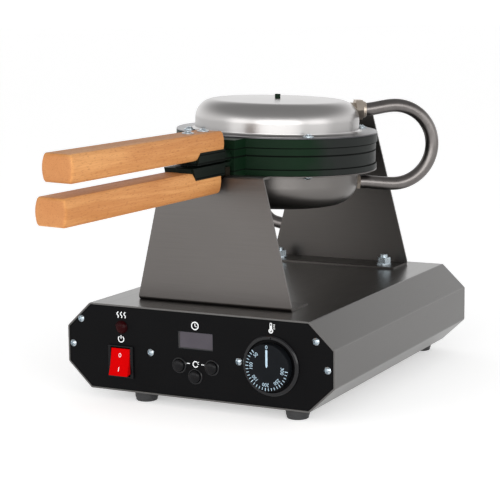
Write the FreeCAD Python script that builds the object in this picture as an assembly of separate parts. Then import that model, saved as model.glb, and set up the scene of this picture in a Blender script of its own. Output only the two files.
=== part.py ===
import FreeCAD, Part
import math
import os

V = FreeCAD.Vector

# Rotating bubble-waffle maker, in millimetres. The origin is the centre of the base's footprint on the
# surface it stands on: +X is the operator's right, +Y the back, +Z up.

# Driving dimensions
base_w = 280.0          # housing at its widest
base_d = 346.0
base_h = 83.0
foot_h = 10.0
chamfer_x = 25.2        # bevel on the housing's four long edges
chamfer_z = 24.0
sheet = 1.5             # stainless sheet of the housing
plate = 2.0             # uprights and panels
axis_rise = 136.0       # flip axis above the housing's top
split_rise = 2.4        # where the two pans meet, above the flip axis
pan_r = 100.5           # pan flange
dome_r = 82.0
open_hinge_y = 112.2    # pin that joins the two pans, behind them
rest_tilt = 1.8         # degrees that the pans lean to the right at rest, on the conduit's side
hose_r = 6.7

# Derived places
base_bottom = foot_h
base_top = foot_h + base_h
axis_z = base_top + axis_rise
split_z = axis_z + split_rise
front_y = -base_d / 2
rear_y = base_d / 2
panel_face_y = front_y + 0.5
panel_back_y = panel_face_y + plate
gap = 0.3               # free space between bodies that move past each other
run_fit = 0.05          # radial clearance of a running fit

nodes = {}


# ---------------------------------------------------------------- shape helpers
def box(x0, x1, y0, y1, z0, z1):
    return Part.makeBox(x1 - x0, y1 - y0, z1 - z0, V(x0, y0, z0))


def rod_y(x, z, r, y0, y1):
    return Part.makeCylinder(r, y1 - y0, V(x, y0, z), V(0, 1, 0))


def rod_x(y, z, r, x0, x1):
    return Part.makeCylinder(r, x1 - x0, V(x0, y, z), V(1, 0, 0))


def rod_z(x, y, r, z0, z1):
    return Part.makeCylinder(r, z1 - z0, V(x, y, z0), V(0, 0, 1))


def tube_y(x, z, r_out, r_in, y0, y1):
    return rod_y(x, z, r_out, y0, y1).cut(rod_y(x, z, r_in, y0, y1))


def prism(points, direction):
    wire = Part.makePolygon(points + [points[0]])
    return Part.Face(wire).extrude(direction)


def prism_y(outline, y0, y1):
    """A prism along Y from an outline of (x, z) points."""
    return prism([V(x, y0, z) for x, z in outline], V(0, y1 - y0, 0))


def prism_x(outline, x0, x1):
    """A prism along X from an outline of (y, z) points."""
    return prism([V(x0, y, z) for y, z in outline], V(x1 - x0, 0, 0))


def hexagon(across_flats, height, base, axis):
    """A hexagonal prism standing on base, along axis."""
    turn = FreeCAD.Rotation(V(0, 0, 1), axis)
    r = across_flats / 2 / math.cos(math.pi / 6)
    corners = [V(r * math.cos(k * math.pi / 3), r * math.sin(k * math.pi / 3), 0) for k in range(6)]
    return prism([base + turn.multVec(p) for p in corners], axis * height)


def joined(shapes):
    return shapes[0].multiFuse(shapes[1:]).removeSplitter() if len(shapes) > 1 else shapes[0]


def group(shapes):
    """Separate solids that share one node."""
    return Part.makeCompound(shapes)


def spun(profile, centre_x, centre_y):
    """A solid turned about the vertical line through the centre, from a closed wire of edges in XZ."""
    face = Part.Face(Part.Wire(profile))
    face.translate(V(centre_x, centre_y, 0))
    return face.revolve(V(centre_x, centre_y, 0), V(0, 0, 1), 360)


def line(a, b):
    return Part.LineSegment(a, b).toShape()


def arc(a, b, c):
    return Part.Arc(a, b, c).toShape()


def smooth_path(points, share=0.45):
    """Straight runs joined by tangent arcs, each as large as its two runs allow."""
    edges = []
    start = points[0]
    for before, corner, after in zip(points, points[1:], points[2:]):
        run = min((corner - before).Length, (after - corner).Length)
        u = (before - corner).normalize()
        w = (after - corner).normalize()
        cut = share * run
        half_turn = (math.pi - u.getAngle(w)) / 2
        radius = cut / math.tan(half_turn)
        middle = (u + w).normalize()
        centre = corner + middle * (radius / math.cos(half_turn))
        a = corner + u * cut
        b = corner + w * cut
        if (a - start).Length > 1e-6:
            edges.append(line(start, a))
        edges.append(arc(a, centre - middle * radius, b))
        start = b
    edges.append(line(start, points[-1]))
    return Part.Wire(edges)


def swept_tube(path, r):
    first = path.Edges[0]
    start = first.valueAt(first.FirstParameter)
    tangent = first.tangentAt(first.FirstParameter)
    section = Part.Wire(Part.makeCircle(r, start, tangent))
    return path.makePipeShell([section], True, False)


def tilted(shape):
    """The pans' rest attitude: turned about the flip axis."""
    turned = shape.copy()
    turned.rotate(V(0, 0, axis_z), V(0, 1, 0), rest_tilt)
    return turned


def pan_head_screw(x, z, y_face, r_head, h_head, r_shank, length):
    """A cross-recess screw driven along +Y, its head standing out of y_face towards the front."""
    ball_r = (r_head ** 2 + h_head ** 2) / (2 * h_head)
    ball = Part.makeSphere(ball_r, V(x, y_face - h_head + ball_r, z))
    head = ball.common(rod_y(x, z, r_head, y_face - h_head, y_face))
    depth = 0.6 * h_head
    arm = 0.62 * r_head
    slot = 0.18 * r_head
    cross_y = y_face - h_head - 0.1
    for half_x, half_z in ((arm, slot), (slot, arm)):
        head = head.cut(box(x - half_x, x + half_x, cross_y, cross_y + depth, z - half_z, z + half_z))
    return head.fuse(rod_y(x, z, r_shank, y_face, y_face + length)).removeSplitter()


def place_upright(shape, at, flip=False):
    """Takes a screw modelled along +Y at the origin and stands it head up, or head down, at a point."""
    moved = shape.copy()
    moved.rotate(V(0, 0, 0), V(1, 0, 0), 90 if flip else -90)
    moved.translate(at)
    return moved


# ---------------------------------------------------------------- base housing
def octagon(inset):
    """The housing's cross-section as (x, z) points, moved in by inset."""
    slope = math.hypot(chamfer_x, chamfer_z)
    cx = chamfer_x + inset * (slope - chamfer_x - chamfer_z) / chamfer_z
    cz = chamfer_z + inset * (slope - chamfer_x - chamfer_z) / chamfer_x
    x = base_w / 2 - inset
    z0 = base_bottom + inset
    z1 = base_top - inset
    return [(-x, z0 + cz), (-x + cx, z0), (x - cx, z0), (x, z0 + cz),
            (x, z1 - cz), (x - cx, z1), (-x + cx, z1), (-x, z1 - cz)]


fold_r = 3.0                         # outside radius of the housing's folds
flange_w = 12.0                      # inner flange that the panels screw to
bottom_rim = 22.0                    # strip of housing left round the bottom opening
bottom_half_w = base_w / 2 - chamfer_x - bottom_rim
upright_bolt_x = 62.0
front_foot_bolt_y = -118.0
rear_foot_bolt_y = 134.0
bolt_r = 4.0
bolt_hole_r = 4.3
foot_places = [(-63.0, -157.0), (96.0, -157.0), (-96.0, 157.0), (96.0, 157.0)]
conduit_entry = (-58.0, 165.4)
panel_screws = [(-125.2, 76.6), (-134.7, 51.8), (-48.8, 50.2), (44.0, 50.1), (121.4, 75.6), (132.6, 50.4)]
bottom_screws = [(side * (bottom_half_w + 3.0), y) for side in (-1, 1) for y in (-130.0, 0.0, 130.0)]
screw_hole_r = 1.6


def bent_prism(inset, radius):
    body = prism_y(octagon(inset), front_y, rear_y)
    return body.makeFillet(radius, [e for e in body.Edges if e.BoundBox.YLength > base_d - 1])


def base_housing():
    shell = bent_prism(0, fold_r).cut(bent_prism(sheet, fold_r - sheet))
    for y0 in (panel_back_y, rear_y - 0.5 - plate - sheet):
        ring = prism_y(octagon(sheet), y0, y0 + sheet)
        shell = shell.fuse(ring.cut(prism_y(octagon(sheet + flange_w), y0, y0 + sheet)))
    shell = shell.cut(box(-bottom_half_w, bottom_half_w, front_y + 30, rear_y - 30, 0, base_bottom + sheet))
    for x, z in panel_screws:
        shell = shell.cut(rod_y(x, z, screw_hole_r, front_y, front_y + 10))
        shell = shell.cut(rod_y(x, z, screw_hole_r, rear_y - 10, rear_y))
    for x in (-upright_bolt_x, upright_bolt_x):
        for y in (front_foot_bolt_y, rear_foot_bolt_y):
            shell = shell.cut(rod_z(x, y, bolt_hole_r, base_top - 5, base_top + 1))
    shell = shell.cut(rod_z(*conduit_entry, 6.85, base_top - 1.6, base_top + 1))
    for x, y in foot_places:
        shell = shell.cut(rod_z(x, y, 2.2, 0, base_bottom + 5))
    for x, y in bottom_screws:
        shell = shell.cut(rod_z(x, y, screw_hole_r, 0, base_bottom + 5))
    return shell.removeSplitter()


def bottom_plate():
    """Closes the bottom opening from inside; the screws pass up through the housing's rim into it."""
    margin = 6.0
    slab = box(-bottom_half_w - margin, bottom_half_w + margin, front_y + 30 - margin, rear_y - 30 + margin,
               base_bottom + sheet, base_bottom + 2 * sheet)
    for row in range(-3, 4):
        for side in (-1, 1):
            slot_x = side * 45.0
            slot_y = row * 14.0
            slab = slab.cut(box(slot_x - 22, slot_x + 22, slot_y - 2, slot_y + 2, 0, base_bottom + 10))
    for x, y in bottom_screws:
        slab = slab.cut(rod_z(x, y, screw_hole_r, 0, base_bottom + 5))
    return slab


def bottom_plate_screws():
    screw = pan_head_screw(0, 0, 0, 3.2, 1.8, 1.5, 2 * sheet - 0.2)
    return group([place_upright(screw, V(x, y, base_bottom), flip=True) for x, y in bottom_screws])


def feet():
    """Rubber feet, tapered a little, each with a recess for its screw."""
    solids = []
    for x, y in foot_places:
        foot = Part.makeCone(10.2, 11.2, foot_h, V(x, y, 0), V(0, 0, 1))
        foot = foot.cut(rod_z(x, y, 4.4, -1, 4.0)).cut(rod_z(x, y, 2.05, 0, foot_h))
        solids.append(foot)
    return group(solids)


def foot_screws():
    screw = pan_head_screw(0, 0, 0, 4.0, 2.2, 2.0, 12.5)
    return group([place_upright(screw, V(x, y, 4.0), flip=True) for x, y in foot_places])


# ---------------------------------------------------------------- front panel and its controls
rocker_at = (-80.9, 38.8)
rocker_bezel = (27.2, 31.0)
rocker_opening = (21.4, 28.0)
lamp_at = (-79.9, 71.9)
lamp_r = 6.2
display_at = (-0.9, 65.2)
display_size = (36.6, 16.0)
button_places = {"left": (-18.0, 41.1), "right": (16.4, 41.8), "lower": (-1.2, 31.9)}
button_ring_r = 7.6
button_barrel_r = 6.7
button_bore_r = 6.05
button_cap_r = 5.75
knob_at = (77.0, 49.4)
knob_r = 21.6
knob_ring_r = 28.0
knob_ring_in = 24.4
knob_back_y = front_y - 1.2
knob_face_y = front_y - 9.0


def front_panel():
    panel = prism_y(octagon(sheet + 0.3), panel_face_y, panel_back_y)
    rx, rz = rocker_at
    panel = panel.cut(box(rx - 12.2, rx + 12.2, front_y - 1, front_y + 5, rz - 14.6, rz + 14.6))
    panel = panel.cut(rod_y(*lamp_at, lamp_r - 0.7, front_y - 1, front_y + 5))
    dx, dz = display_at
    half_w, half_h = display_size[0] / 2, display_size[1] / 2
    panel = panel.cut(box(dx - half_w, dx + half_w, front_y - 1, front_y + 5, dz - half_h, dz + half_h))
    for place in button_places.values():
        panel = panel.cut(rod_y(*place, button_barrel_r, front_y - 1, front_y + 5))
    panel = panel.cut(rod_y(*knob_at, 5.2, front_y - 1, front_y + 5))
    for x, z in panel_screws:
        panel = panel.cut(rod_y(x, z, screw_hole_r, front_y - 1, front_y + 5))
    return panel


gland_at = (92.0, 40.0)
gland_hole_r = 8.2
gland_bore_r = 4.0


vent_first = (-94.0, 36.0)     # x and z of the first cooling slot in the back panel
vent_pitch = (16.0, 10.0)
vent_half = (5.5, 1.5)


def rear_panel():
    panel = prism_y(octagon(sheet + 0.3), rear_y - 0.5 - plate, rear_y - 0.5)
    for x, z in panel_screws:
        panel = panel.cut(rod_y(x, z, screw_hole_r, rear_y - 6, rear_y + 1))
    panel = panel.cut(rod_y(*gland_at, gland_hole_r, rear_y - 6, rear_y + 1))
    for row in range(4):
        for column in range(8):
            x, z = vent_first[0] + column * vent_pitch[0], vent_first[1] + row * vent_pitch[1]
            panel = panel.cut(box(x - vent_half[0], x + vent_half[0], rear_y - 6, rear_y + 1,
                                  z - vent_half[1], z + vent_half[1]))
    return panel


def panel_fixings():
    """The identical screws of the front and rear panels."""
    front = [pan_head_screw(x, z, panel_face_y, 3.4, 1.9, 1.5, 7.0) for x, z in panel_screws]
    return group(front + [screw.mirror(V(0, 0, 0), V(0, 1, 0)) for screw in front])


def cable_gland():
    """Strain-relief gland for the supply cord: flange outside, thread and nut inside, bore right through."""
    x, z = gland_at
    body = rod_y(x, z, gland_hole_r - 0.1, rear_y - 14, rear_y - 0.5)
    flange = hexagon(22, 5, V(x, rear_y - 0.5, z), V(0, 1, 0))
    cone = Part.makeCone(9.0, 6.6, 12, V(x, rear_y + 4.5, z), V(0, 1, 0))
    nut = hexagon(22, 5, V(x, rear_y - 0.5 - plate - sheet - 5, z), V(0, 1, 0))
    gland = joined([body, flange, cone, nut])
    return gland.cut(rod_y(x, z, gland_bore_r, rear_y - 20, rear_y + 20))


def rocker_switch_body():
    """Bezel and housing of the mains switch, with the pocket that its rocker moves in, and its blades."""
    x, z = rocker_at
    w, h = rocker_bezel
    ow, oh = rocker_opening
    bezel = box(x - w / 2, x + w / 2, front_y - 1.6, panel_face_y, z - h / 2, z + h / 2)
    bezel = bezel.makeFillet(0.7, [e for e in bezel.Edges if all(v.Y < front_y for v in e.Vertexes)])
    body = box(x - 12.0, x + 12.0, panel_face_y, front_y + 21, z - 14.4, z + 14.4)
    switch = bezel.fuse(body)
    switch = switch.cut(box(x - ow / 2, x + ow / 2, front_y - 4, front_y + 12, z - oh / 2, z + oh / 2))
    switch = switch.cut(rod_x(rocker_pivot_y, z, trunnion_r + run_fit, x - ow / 2 - 1.2, x + ow / 2 + 1.2))
    for side in (-1, 1):
        for level in (-8.0, 0.0, 8.0):
            blade_x = x + side * 6.0
            switch = switch.fuse(box(blade_x - 0.4, blade_x + 0.4, front_y + 21, front_y + 29,
                                     z + level - 3.1, z + level + 3.1))
    return switch.removeSplitter()


rocker_pivot_y = front_y - 0.5
trunnion_r = 0.8


def rocker():
    """Two facets meeting at the middle: the upper end is pressed in, the lower end stands out."""
    x, z = rocker_at
    half_w = rocker_opening[0] / 2 - 0.45
    reach = 12.6
    outline = [(front_y - 7.4, z - reach), (front_y - 3.4, z), (front_y - 1.2, z + reach),
               (front_y + 4.0, z + reach - 3.0), (front_y + 5.0, z), (front_y + 4.0, z - reach + 2.4)]
    body = prism_x(outline, x - half_w, x + half_w)
    rims = [e for e in body.Edges if all(v.Y < front_y - 1 for v in e.Vertexes)]
    body = body.makeFillet(0.6, rims)
    trunnion = rod_x(rocker_pivot_y, z, trunnion_r, x - half_w - 1.2, x + half_w + 1.2)
    return body.fuse(trunnion).removeSplitter()


def indicator_lamp():
    """Snap-in pilot lamp: domed lens in front of the panel and its holder behind."""
    x, z = lamp_at
    bulge = 3.0
    ball_r = (lamp_r ** 2 + bulge ** 2) / (2 * bulge)
    dome = Part.makeSphere(ball_r, V(x, panel_face_y - 0.8 - bulge + ball_r, z))
    dome = dome.common(rod_y(x, z, lamp_r, panel_face_y - 0.8 - bulge, panel_face_y - 0.8))
    rim = rod_y(x, z, lamp_r, panel_face_y - 0.8, panel_face_y)
    stem = rod_y(x, z, lamp_r - 0.75, panel_face_y, panel_back_y + 20)
    tabs = [box(x + s * 3 - 0.4, x + s * 3 + 0.4, panel_back_y + 20, panel_back_y + 27, z - 2.4, z + 2.4)
            for s in (-1, 1)]
    return joined([dome, rim, stem] + tabs)


def display_window():
    x, z = display_at
    half_w, half_h = display_size[0] / 2 - 0.1, display_size[1] / 2 - 0.1
    return box(x - half_w, x + half_w, panel_face_y + 1.0, panel_back_y, z - half_h, z + half_h)


board_y = front_y + 19.0
board_t = 1.6
board_box = (-44.0, 40.0, 24.0, 78.0)     # x and z limits of the timer board
board_hole_in = 4.0            # its fixing holes, in from its corners
button_travel = 1.6


def display_module():
    """Three-digit display on the timer board, right behind the window."""
    x, z = display_at
    return box(x - 20, x + 20, panel_back_y, board_y, z - 9.5, z + 9.5)


def timer_board():
    """Timer circuit board with its buzzer, supply socket and one momentary switch behind each button."""
    x0, x1, z0, z1 = board_box
    board = box(x0, x1, board_y, board_y + board_t, z0, z1)
    for x in (x0 + board_hole_in, x1 - board_hole_in):
        for z in (z0 + board_hole_in, z1 - board_hole_in):
            board = board.cut(rod_y(x, z, 1.6, board_y - 1, board_y + 3))
    chip = box(-26, -10, board_y + board_t, board_y + board_t + 3, 48, 62)
    capacitor = rod_y(24, 40, 6, board_y + board_t, board_y + board_t + 12)
    socket = box(4, 30, board_y + board_t, board_y + board_t + 9, 60, 68)
    buzzer = tube_y(-30.0, 36.0, 6.0, 1.0, board_y + board_t, board_y + board_t + 9)
    switch_face = panel_back_y + 9 + button_travel + gap
    half = 3.0
    switches = [box(x - half, x + half, switch_face, board_y, z - half, z + half)
                for x, z in button_places.values()]
    return joined([board, chip, capacitor, socket, buzzer] + switches)


def board_standoffs():
    x0, x1, z0, z1 = board_box
    posts = []
    for x in (x0 + board_hole_in, x1 - board_hole_in):
        for z in (z0 + board_hole_in, z1 - board_hole_in):
            post = hexagon(5.5, board_y - panel_back_y, V(x, panel_back_y, z), V(0, 1, 0))
            posts.append(post.fuse(rod_y(x, z, 1.45, board_y, board_y + 4)).removeSplitter())
    return group(posts)


def button_rings():
    """Threaded barrel and thin flange of each push button."""
    rings = []
    for x, z in button_places.values():
        flange = tube_y(x, z, button_ring_r, button_bore_r, panel_face_y - 1.0, panel_face_y)
        barrel = tube_y(x, z, button_barrel_r - 0.02, button_bore_r, panel_face_y, panel_back_y + 7)
        rings.append(flange.fuse(barrel).removeSplitter())
    return group(rings)


def button_cap(x, z):
    bulge = 1.8
    face_y = panel_face_y - 2.6
    ball_r = (button_cap_r ** 2 + bulge ** 2) / (2 * bulge)
    dome = Part.makeSphere(ball_r, V(x, face_y - bulge + ball_r, z))
    dome = dome.common(rod_y(x, z, button_cap_r, face_y - bulge, face_y))
    body = rod_y(x, z, button_cap_r, face_y, panel_back_y + 3)
    stem = rod_y(x, z, 1.6, panel_back_y + 3, panel_back_y + 9)
    return joined([dome, body, stem])


def knob_index_ring():
    """Fixed ring round the knob, bevelled, with a notch at the top that the dial is read against."""
    x, z = knob_at
    ring = tube_y(x, z, knob_ring_r, knob_ring_in, panel_face_y - 2.4, panel_face_y)
    outer = [e for e in ring.Edges if e.BoundBox.YMax < panel_face_y - 1
             and e.BoundBox.XLength > 2 * knob_ring_in + 2]
    ring = ring.makeChamfer(1.2, outer)
    notch = box(x - 0.4, x + 0.4, panel_face_y - 3, panel_face_y - 1.0, z + knob_r, z + knob_ring_r + 1)
    return ring.cut(notch)


def knob():
    """A shallow dial: flat face with a bevelled rim, hollow behind, and a hub for the shaft."""
    x, z = knob_at
    body = rod_y(x, z, knob_r, knob_face_y, knob_back_y)
    face_rim = [e for e in body.Edges if e.BoundBox.YMax < knob_face_y + 0.5 and e.BoundBox.XLength > knob_r]
    body = body.makeChamfer(1.0, face_rim)
    hollow = tube_y(x, z, knob_r - 2.2, 6.5, knob_face_y + 2.6, knob_back_y)
    return body.cut(hollow).cut(rod_y(x, z, 3.01, knob_face_y + 2.6, knob_back_y + 1))


def thermostat_shaft():
    x, z = knob_at
    return rod_y(x, z, 3.0, knob_face_y + 2.6, front_y + 20)


def thermostat_body():
    """Capillary thermostat on the back of the panel, its bush in the panel's hole."""
    x, z = knob_at
    case = box(x - 24, x + 24, panel_back_y, front_y + 34, z - 17, z + 17)
    bush = rod_y(x, z, 5.1, panel_face_y, panel_back_y)
    case = case.fuse(bush).cut(rod_y(x, z, 3.0 + run_fit, front_y - 1, front_y + 20.3))
    for side in (-1, 1):
        lug_x = x + side * 15
        case = case.fuse(box(lug_x - 3.2, lug_x + 3.2, front_y + 34, front_y + 42, z - 6.4, z - 5.6))
    return case.removeSplitter()


def thermostat_capillary():
    """Copper capillary from the thermostat back to the conduit entry, ending in its bulb."""
    x, z = knob_at
    points = [V(x, front_y + 34, z + 8), V(x, front_y + 60, z + 8), V(x - 14, -70, 62), V(20, -30, 52),
              V(8, 20, 44), V(-10, 62, 40)]
    tube = swept_tube(smooth_path(points), 1.0)
    bulb = Part.makeCylinder(3.0, 40, points[-1], (points[-1] - points[-2]).normalize())
    return tube.fuse(bulb).removeSplitter()


# ---------------------------------------------------------------- inside the base
floor_z = base_bottom + 2 * sheet


def terminal_block():
    block = box(70, 114, 118, 138, floor_z, floor_z + 16)
    for k in range(4):
        pole_x = 75.5 + k * 11.0
        block = block.cut(rod_z(pole_x, 128, 3.0, floor_z + 8, floor_z + 20))
        block = block.cut(rod_y(pole_x, floor_z + 6, 2.2, 110, 124))
    return block


def power_relay():
    base = box(-84, -48, -60, -10, floor_z, floor_z + 6)
    case = box(-82, -50, -56, -14, floor_z + 6, floor_z + 34)
    return base.fuse(case).removeSplitter()


def wiring_looms():
    """Supply from the gland to the terminals, terminals forward to the switch, relay back to the conduit."""
    x, z = gland_at
    lead_in = [V(x, rear_y - 14.2, z), V(x, rear_y - 22, z), V(x, 147, z - 18), V(x, 138.3, z - 18)]
    forward = [V(76, 117.7, floor_z + 6), V(76, 104, floor_z + 6), V(60, 80, floor_z + 8),
               V(20, 20, floor_z + 8), V(-40, -90, floor_z + 10),
               V(rocker_at[0], front_y + 52, 36), V(rocker_at[0], front_y + 29, rocker_at[1])]
    cx, cy = conduit_entry
    heater = [V(-66, -14, floor_z + 20), V(-66, 30, floor_z + 20), V(-62, 110, floor_z + 24), V(cx, cy, 52),
              V(cx, cy, base_top - 9)]
    return group([swept_tube(smooth_path(lead_in), 3.2), swept_tube(smooth_path(forward), 3.0),
                  swept_tube(smooth_path(heater), 3.4)])


# ---------------------------------------------------------------- uprights and bearings
front_upright_y = -138.0
front_flange_d = 13.5
front_foot_d = 35.0
front_upright_top = axis_z - 14.0
front_half_bottom = 81.0
front_half_top = 52.8
rear_upright_y = 158.0            # back face
rear_foot_d = 40.0
rear_flange_d = 11.0
rear_upright_top = base_top + 167.0
rear_half_bottom = 79.5
rear_half_top = 37.5
bend_r = 3.0
journal_r = 13.0
arm_sweep_r = 20.2                # clears the handle arms as they turn


def bent_plate(y_face, top_depth, foot_depth, top, half_w):
    """A Z or C section in sheet: foot flange, wall and top flange; signed depths, extruded across X."""
    t = plate
    s_top = 1 if top_depth > 0 else -1
    s_foot = 1 if foot_depth > 0 else -1
    foot = box(-half_w, half_w, *sorted((y_face, y_face + foot_depth)), base_top, base_top + t)
    wall = box(-half_w, half_w, *sorted((y_face, y_face + s_foot * t)), base_top, top)
    cap = box(-half_w, half_w, *sorted((y_face + (0 if s_top == s_foot else s_foot * t), y_face + top_depth)),
              top - t, top)
    body = joined([foot, wall, cap])
    outer = [e for e in body.Edges if e.BoundBox.XLength > 1.9 * half_w
             and abs(e.BoundBox.YMin - y_face) < 0.01 and abs(e.BoundBox.ZMin - base_top) < 0.01]
    return body.makeFillet(bend_r, outer)


def front_upright():
    """Folded plate: foot flange and top flange both turn backwards; notched for the arms and saddle."""
    body = bent_plate(front_upright_y, front_flange_d, front_foot_d, front_upright_top, front_half_bottom + 3)
    top_edge = [e for e in body.Edges if e.BoundBox.XLength > 100
                and abs(e.BoundBox.YMin - front_upright_y) < 0.01
                and abs(e.BoundBox.ZMax - front_upright_top) < 0.01]
    body = body.makeFillet(bend_r - 1, top_edge)
    b, t = front_half_bottom, front_half_top
    outline = [(-b, base_top - 1), (b, base_top - 1), (b, base_top + 4), (t, front_upright_top + 1),
               (-t, front_upright_top + 1), (-b, base_top + 4)]
    body = body.common(prism_y(outline, front_upright_y - 5, front_upright_y + 60))
    body = body.cut(rod_y(0, axis_z, arm_sweep_r, front_upright_y - 5, front_upright_y + 60))
    behind = front_upright_y + plate
    body = body.cut(box(-14.6, 14.6, behind, behind + 30, front_upright_top - 5, front_upright_top + 1))
    for x in (-upright_bolt_x, upright_bolt_x):
        body = body.cut(rod_z(x, front_foot_bolt_y, bolt_hole_r, base_top - 1, base_top + 10))
    for x in (-saddle_screw_x, saddle_screw_x):
        body = body.cut(rod_y(x, saddle_screw_z, 2.1, front_upright_y - 1, front_upright_y + 5))
    return body


saddle_screw_x = 17.0
saddle_screw_z = axis_z - 30.0
saddle_y = (front_upright_y + plate, front_upright_y + plate + 9.0)


def front_saddle():
    """Bearing block behind the front upright: the arms' round journal turns in its open top."""
    y0, y1 = saddle_y
    post = box(-13.6, 13.6, y0, y1, axis_z - 40, axis_z - 6)
    wide = box(-25, 25, y0, y1, axis_z - 40, axis_z - 21)
    block = post.fuse(wide).removeSplitter()
    block = block.cut(rod_y(0, axis_z, journal_r + run_fit, y0 - 1, y1 + 1))
    for x in (-saddle_screw_x, saddle_screw_x):
        block = block.cut(rod_y(x, saddle_screw_z, 1.95, y0 - 1, y1 + 1))
    return block


def saddle_screws():
    return group([pan_head_screw(x, saddle_screw_z, front_upright_y, 3.8, 2.0, 1.9, 10.0)
                  for x in (-saddle_screw_x, saddle_screw_x)])


def rear_upright():
    """Folded plate: the foot flange turns forwards, the top flange backwards; bored for the bearing."""
    y = rear_upright_y
    wide = rear_half_bottom + 3
    foot = box(-wide, wide, y - rear_foot_d, y, base_top, base_top + plate)
    wall = box(-wide, wide, y - plate, y, base_top, rear_upright_top)
    cap = box(-wide, wide, y - plate, y + rear_flange_d, rear_upright_top - plate, rear_upright_top)
    body = joined([foot, wall, cap])
    edges = [e for e in body.Edges if e.BoundBox.XLength > 100
             and ((abs(e.BoundBox.YMin - y) < 0.01 and abs(e.BoundBox.ZMin - base_top) < 0.01)
                  or (abs(e.BoundBox.YMin - y + plate) < 0.01 and abs(e.BoundBox.ZMax - rear_upright_top) < 0.01))]
    body = body.makeFillet(1.9, edges)
    b, t = rear_half_bottom, rear_half_top
    outline = [(-b, base_top - 1), (b, base_top - 1), (b, base_top + 4), (t, rear_upright_top + 1),
               (-t, rear_upright_top + 1), (-b, base_top + 4)]
    body = body.common(prism_y(outline, y - 60, y + 30))
    body = body.cut(rod_y(0, axis_z, bearing_r + 0.02, y - 10, y + 10))
    for x in (-upright_bolt_x, upright_bolt_x):
        body = body.cut(rod_z(x, rear_foot_bolt_y, bolt_hole_r, base_top - 1, base_top + 10))
    return body


shaft_r = 9.0
shaft_bore_r = 6.0
shaft_end_y = 172.0
bearing_r = 13.0
bearing_flange_r = 21.0


def rear_bearing():
    """Flanged bronze bush that carries the hollow shaft in the rear upright."""
    y = rear_upright_y - plate
    bush = rod_y(0, axis_z, bearing_r, y - 5, rear_upright_y + 4)
    flange = rod_y(0, axis_z, bearing_flange_r, y - 3, y)
    return bush.fuse(flange).removeSplitter().cut(rod_y(0, axis_z, shaft_r + run_fit, y - 10, y + 20))


def upright_bolts():
    """Hex bolts up through the housing's top and each foot flange, heads inside."""
    bolts = []
    for x in (-upright_bolt_x, upright_bolt_x):
        for y in (front_foot_bolt_y, rear_foot_bolt_y):
            under = base_top - sheet
            head = hexagon(13, 5.3, V(x, y, under - 5.3), V(0, 0, 1))
            bolts.append(head.fuse(rod_z(x, y, bolt_r, under, base_top + plate + 11)).removeSplitter())
    return group(bolts)


def upright_nuts():
    """Washer and hex nut on each bolt, above the foot flange."""
    nuts = []
    for x in (-upright_bolt_x, upright_bolt_x):
        for y in (front_foot_bolt_y, rear_foot_bolt_y):
            z = base_top + plate
            nut = hexagon(13, 6.5, V(x, y, z + 1.6), V(0, 0, 1)).fuse(rod_z(x, y, 8.0, z, z + 1.6))
            nuts.append(nut.removeSplitter().cut(rod_z(x, y, bolt_r + 0.02, z - 1, z + 12)))
    return group(nuts)


cap_r = 27.0
cap_front_y = rear_upright_y
cap_rear_y = 187.0
cap_wall = 1.5
conduit_y = conduit_entry[1]


def shaft_cap():
    """Round cover behind the rear upright, over the shaft's end; the conduit leaves its side."""
    cap = rod_y(0, axis_z, cap_r, cap_front_y, cap_rear_y)
    rear_rim = [e for e in cap.Edges if e.BoundBox.YMin > cap_rear_y - 0.1 and e.BoundBox.XLength > cap_r]
    cap = cap.makeFillet(4.0, rear_rim)
    cap = cap.cut(rod_y(0, axis_z, cap_r - cap_wall, cap_front_y - 1, cap_rear_y - cap_wall))
    return cap.cut(rod_x(conduit_y, axis_z, 6.85, -cap_r - 5, 0))


base_conduit_points = [V(-cap_r - 9, conduit_y, axis_z), V(-58, conduit_y, axis_z), V(-88, conduit_y, axis_z - 22),
                       V(-101, conduit_y, axis_z - 60), V(-97, conduit_y, axis_z - 96),
                       V(conduit_entry[0], conduit_y, base_top + 32), V(conduit_entry[0], conduit_y, base_top + 8)]


def base_conduit():
    """Flexible metal conduit from the shaft cap, bowed out and down into the housing's top."""
    return swept_tube(smooth_path(base_conduit_points), hose_r)


def base_conduit_unions():
    """A union in the cap's side and another in the housing's top, one at each end of the base conduit."""
    x, y = conduit_entry
    collar = rod_x(y, axis_z, 7.3, -cap_r - 9, 0).cut(rod_y(0, axis_z, cap_r, cap_front_y - 1, cap_rear_y))
    neck = rod_x(y, axis_z, 6.8, -cap_r - 1, -cap_r + 5)
    foot = rod_z(x, y, 7.3, base_top, base_top + 8).fuse(rod_z(x, y, 6.8, base_top - sheet, base_top))
    return group([collar.fuse(neck).removeSplitter(), foot.removeSplitter()])


# ---------------------------------------------------------------- pans, modelled level about the flip axis
lower_flange = (axis_z - 16.4, axis_z - 10.4)     # casting flange, bottom and top
upper_flange = (axis_z + 9.9, axis_z + 18.6)
rim_t = 1.2                                       # cover's rim on the flange
cast_round = 0.5                                  # rounding of the castings' outer edges
body_inset = 1.2                                  # the casting's wall stands in from its flange
face_gap = 0.15                                   # between the two closed pans, each side of the split
neck_half_w = 15.3
neck_y = (-122.0, -92.0)
arm_half_w = 15.0
arm_wall = 2.6
web_t = 4.1
web_off = 1.1                                     # from the flip axis to each arm's web
leg_h = 11.0
arm_end_y = -139.0                                # where each arm's channel meets its journal
upper_arm_y = -193.0
lower_arm_y = -201.0
upper_handle_y = (-392.5, -141.0)
lower_handle_y = (-402.0, -145.5)
handle_h = 23.2
handle_half_flat = 12.5                           # half width of its top and bottom faces
handle_half_mid = 15.0
handle_off = 5.2                                  # from the flip axis to the wood
handle_screw_y = (-183.0, -155.0)
cover_screw_angles = [45, 135, 225, 315]
cover_screw_r = 91.0
recess_r = 88.0
recess_d = 4.0
bubble_pitch = 27.0
bubble_r = 12.0
bubble_d = 5.5
element_r = 62.0
element_tube_r = 4.0


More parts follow.
